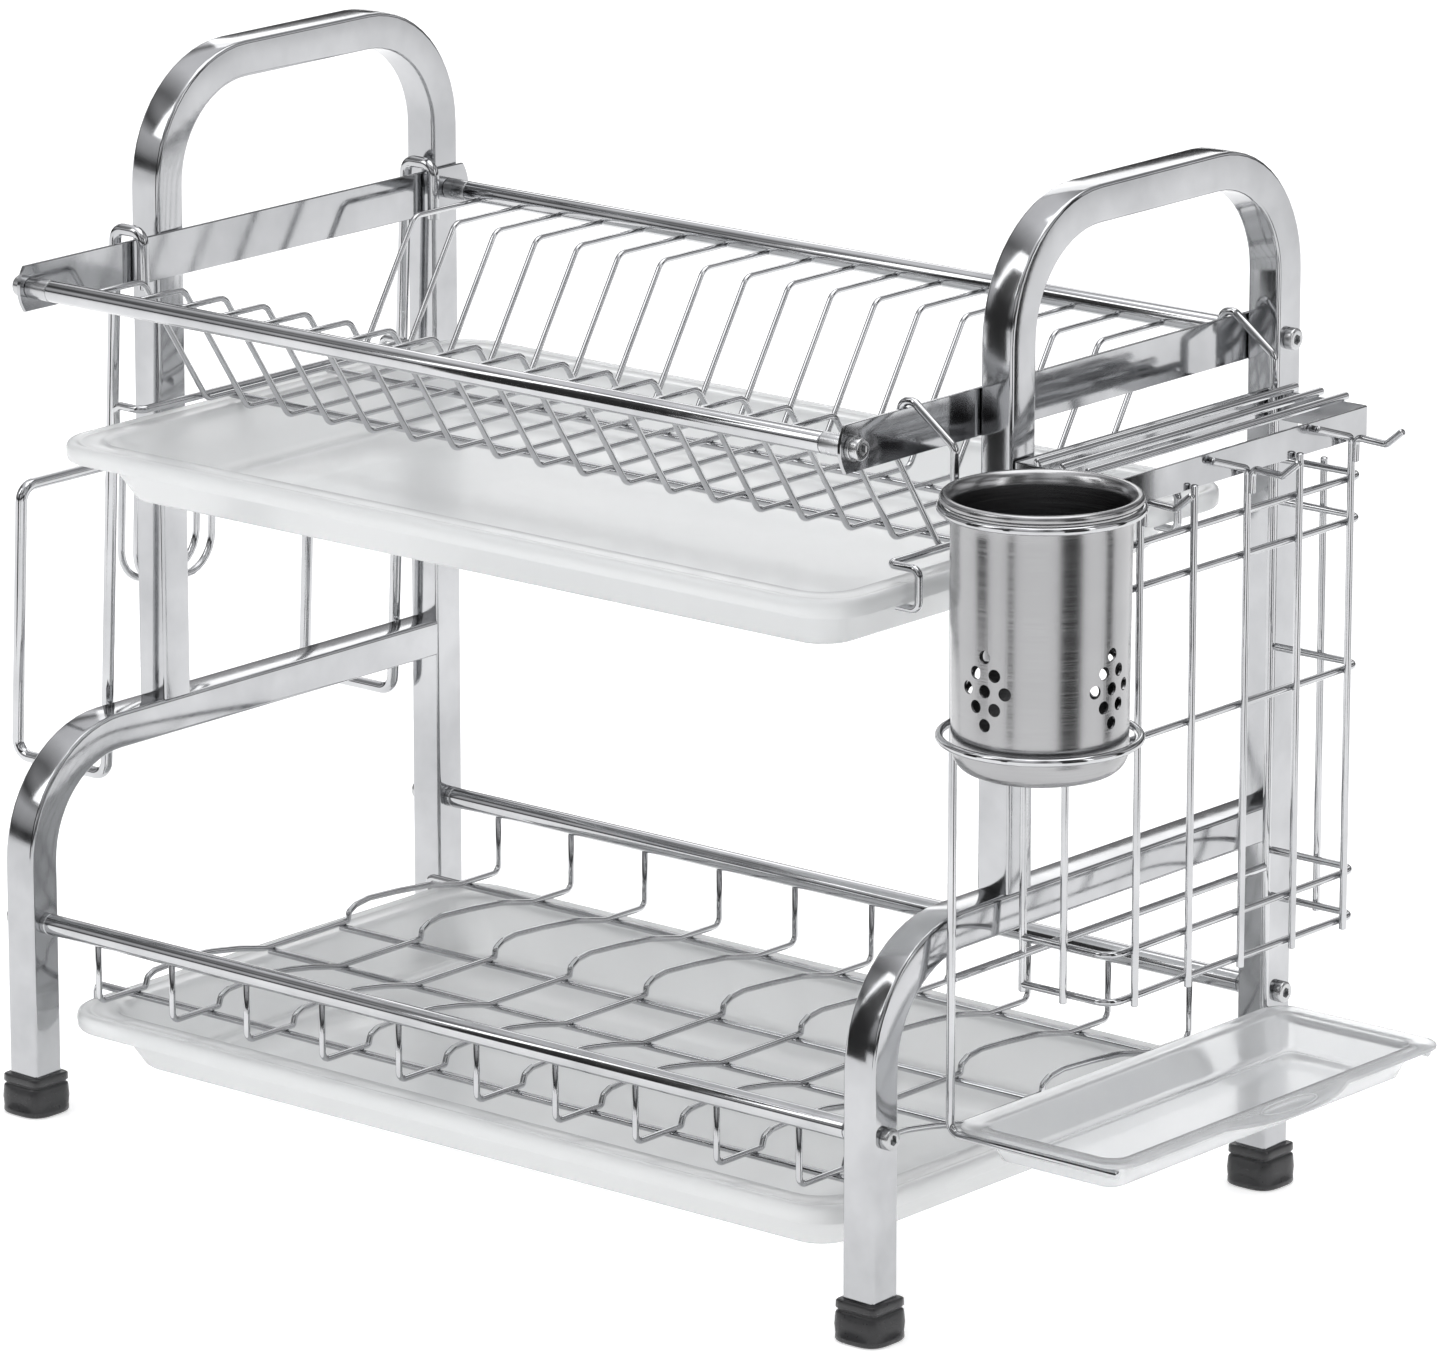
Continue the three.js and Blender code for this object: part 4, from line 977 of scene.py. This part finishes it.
# ---- Floor and light ------------------------------------------------------------------------
# A plain pale floor that glows a little, so it stays near white, and four big soft lamps. The
# world holds light and dark bands, as studio panels do, for the polished steel to reflect.
floor_look = Look("floor")
FLOOR = floor_look.surface(
    Base_Color=floor_look.between(
        floor_look.noise(3, 2), (0.86, 0.86, 0.86, 1), (0.88, 0.88, 0.88, 1)
    ),
    Roughness=0.7,
    Specular_IOR_Level=0.2,
    Emission_Color=(1, 1, 1, 1),
    Emission_Strength=0.50,
)
reach, drop, turn = 15.0, 0.0002, math.radians(40)  # turn is the camera's, seen from above
signs = ((-1, -1), (1, -1), (1, 1), (-1, 1))
mesh = bpy.data.meshes.new("floor")
mesh.from_pydata([(reach * a, reach * b, -drop) for a, b in signs], [], [(0, 1, 2, 3)])
mesh.materials.append(FLOOR)
floor = bpy.data.objects.new("floor", mesh)
bpy.context.collection.objects.link(floor)


def lamp(name, where, target, wide, tall, watts):
    data = bpy.data.lights.new(name, "AREA")
    data.shape, data.size, data.size_y, data.energy = "RECTANGLE", wide, tall, watts
    made = bpy.data.objects.new(name, data)
    made.location = where
    made.rotation_euler = (Vector(target) - Vector(where)).to_track_quat("-Z", "Y").to_euler()
    bpy.context.collection.objects.link(made)


lamp("key", (-1.4, -2.2, 2.3), (0, 0, 0.15), 1.6, 1.6, 21)
lamp("side", (2.6, -0.3, 1.3), (0, 0, 0.2), 1.2, 1.8, 13)
lamp("top", (0.2, 0.3, 2.8), (0, 0, 0), 2.4, 2.0, 27)
lamp("back", (-1.6, 2.2, 1.6), (0, 0, 0.2), 1.6, 1.2, 9)

# Four dark flags stand on the camera's side of the rack. The camera, diffuse light, shadows and
# the view through clear plastic all pass them by, so only reflections show them.
flag_look = Look("flag")
FLAG = flag_look.surface(
    Base_Color=flag_look.between(
        flag_look.noise(4, 2), (0.02, 0.02, 0.02, 1), (0.03, 0.03, 0.03, 1)
    ),
    Roughness=1.0,
)
facing_camera = Vector((math.sin(turn), -math.cos(turn), 0))
rightward = Vector((math.cos(turn), math.sin(turn), 0))
FLAG_DISTANCE, FLAG_HEIGHT = 0.85, 1.1
FLAGS = ((-66, 0.30), (-24, 0.10), (34, 0.30), (78, 0.16))  # degrees from the camera, and width
for number, (angle, wide) in enumerate(FLAGS):
    a = math.radians(angle)
    middle = (facing_camera * math.cos(a) + rightward * math.sin(a)) * FLAG_DISTANCE
    along = (rightward * math.cos(a) - facing_camera * math.sin(a)) * wide / 2
    up = Vector((0, 0, FLAG_HEIGHT))
    mesh = bpy.data.meshes.new(f"flag_{number}")
    corners = [middle - along, middle + along, middle + along + up, middle - along + up]
    mesh.from_pydata([tuple(c) for c in corners], [], [(0, 1, 2, 3)])
    mesh.materials.append(FLAG)
    flag = bpy.data.objects.new(f"flag_{number}", mesh)
    bpy.context.collection.objects.link(flag)
    flag.visible_camera = flag.visible_diffuse = flag.visible_shadow = False
    flag.visible_transmission = False

world = bpy.data.worlds.new("studio")
world.use_nodes = True
nodes, links = world.node_tree.nodes, world.node_tree.links
nodes.clear()
spot = nodes.new("ShaderNodeTexCoord")
facing = nodes.new("ShaderNodeMapping")
facing.inputs["Rotation"].default_value = (0, 0, -turn)
split = nodes.new("ShaderNodeSeparateXYZ")
glow = nodes.new("ShaderNodeBackground")
done = nodes.new("ShaderNodeOutputWorld")
links.new(spot.outputs["Generated"], facing.inputs["Vector"])
links.new(facing.outputs["Vector"], split.inputs[0])
# Brightness by height, and across from the camera's left to its right.
RISING = (
    (0.0, 0.7), (0.02, 0.12), (0.10, 0.05), (0.20, 0.5),
    (0.36, 0.9), (0.48, 0.12), (0.60, 0.8), (1.0, 0.95),
)
ROUND = (
    (0.0, 1.0), (0.16, 0.25), (0.28, 1.2), (0.42, 1.2),
    (0.53, 0.3), (0.62, 1.1), (0.80, 0.2), (0.92, 1.2),
)
bands = []
for axis, stops in (("Z", RISING), ("X", ROUND)):
    shade = nodes.new("ShaderNodeValToRGB")
    ends = shade.color_ramp.elements
    while len(ends) < len(stops):
        ends.new(0.5)
    for end, (place, value) in zip(ends, stops):
        end.position, end.color = place, (value, value, value * 1.01, 1)
    spread = nodes.new("ShaderNodeMapRange")
    spread.inputs["From Min"].default_value = -1.0 if axis == "X" else 0.0
    links.new(split.outputs[axis], spread.inputs["Value"])
    links.new(spread.outputs["Result"], shade.inputs["Fac"])
    bands.append(shade)
cross = nodes.new("ShaderNodeVectorMath")
cross.operation = "MULTIPLY"
for place, shade in enumerate(bands):
    links.new(shade.outputs["Color"], cross.inputs[place])
links.new(cross.outputs[0], glow.inputs["Color"])
links.new(glow.outputs["Background"], done.inputs["Surface"])
glow.inputs["Strength"].default_value = 0.95
bpy.context.scene.world = world
bpy.context.scene.view_settings.view_transform = "Standard"
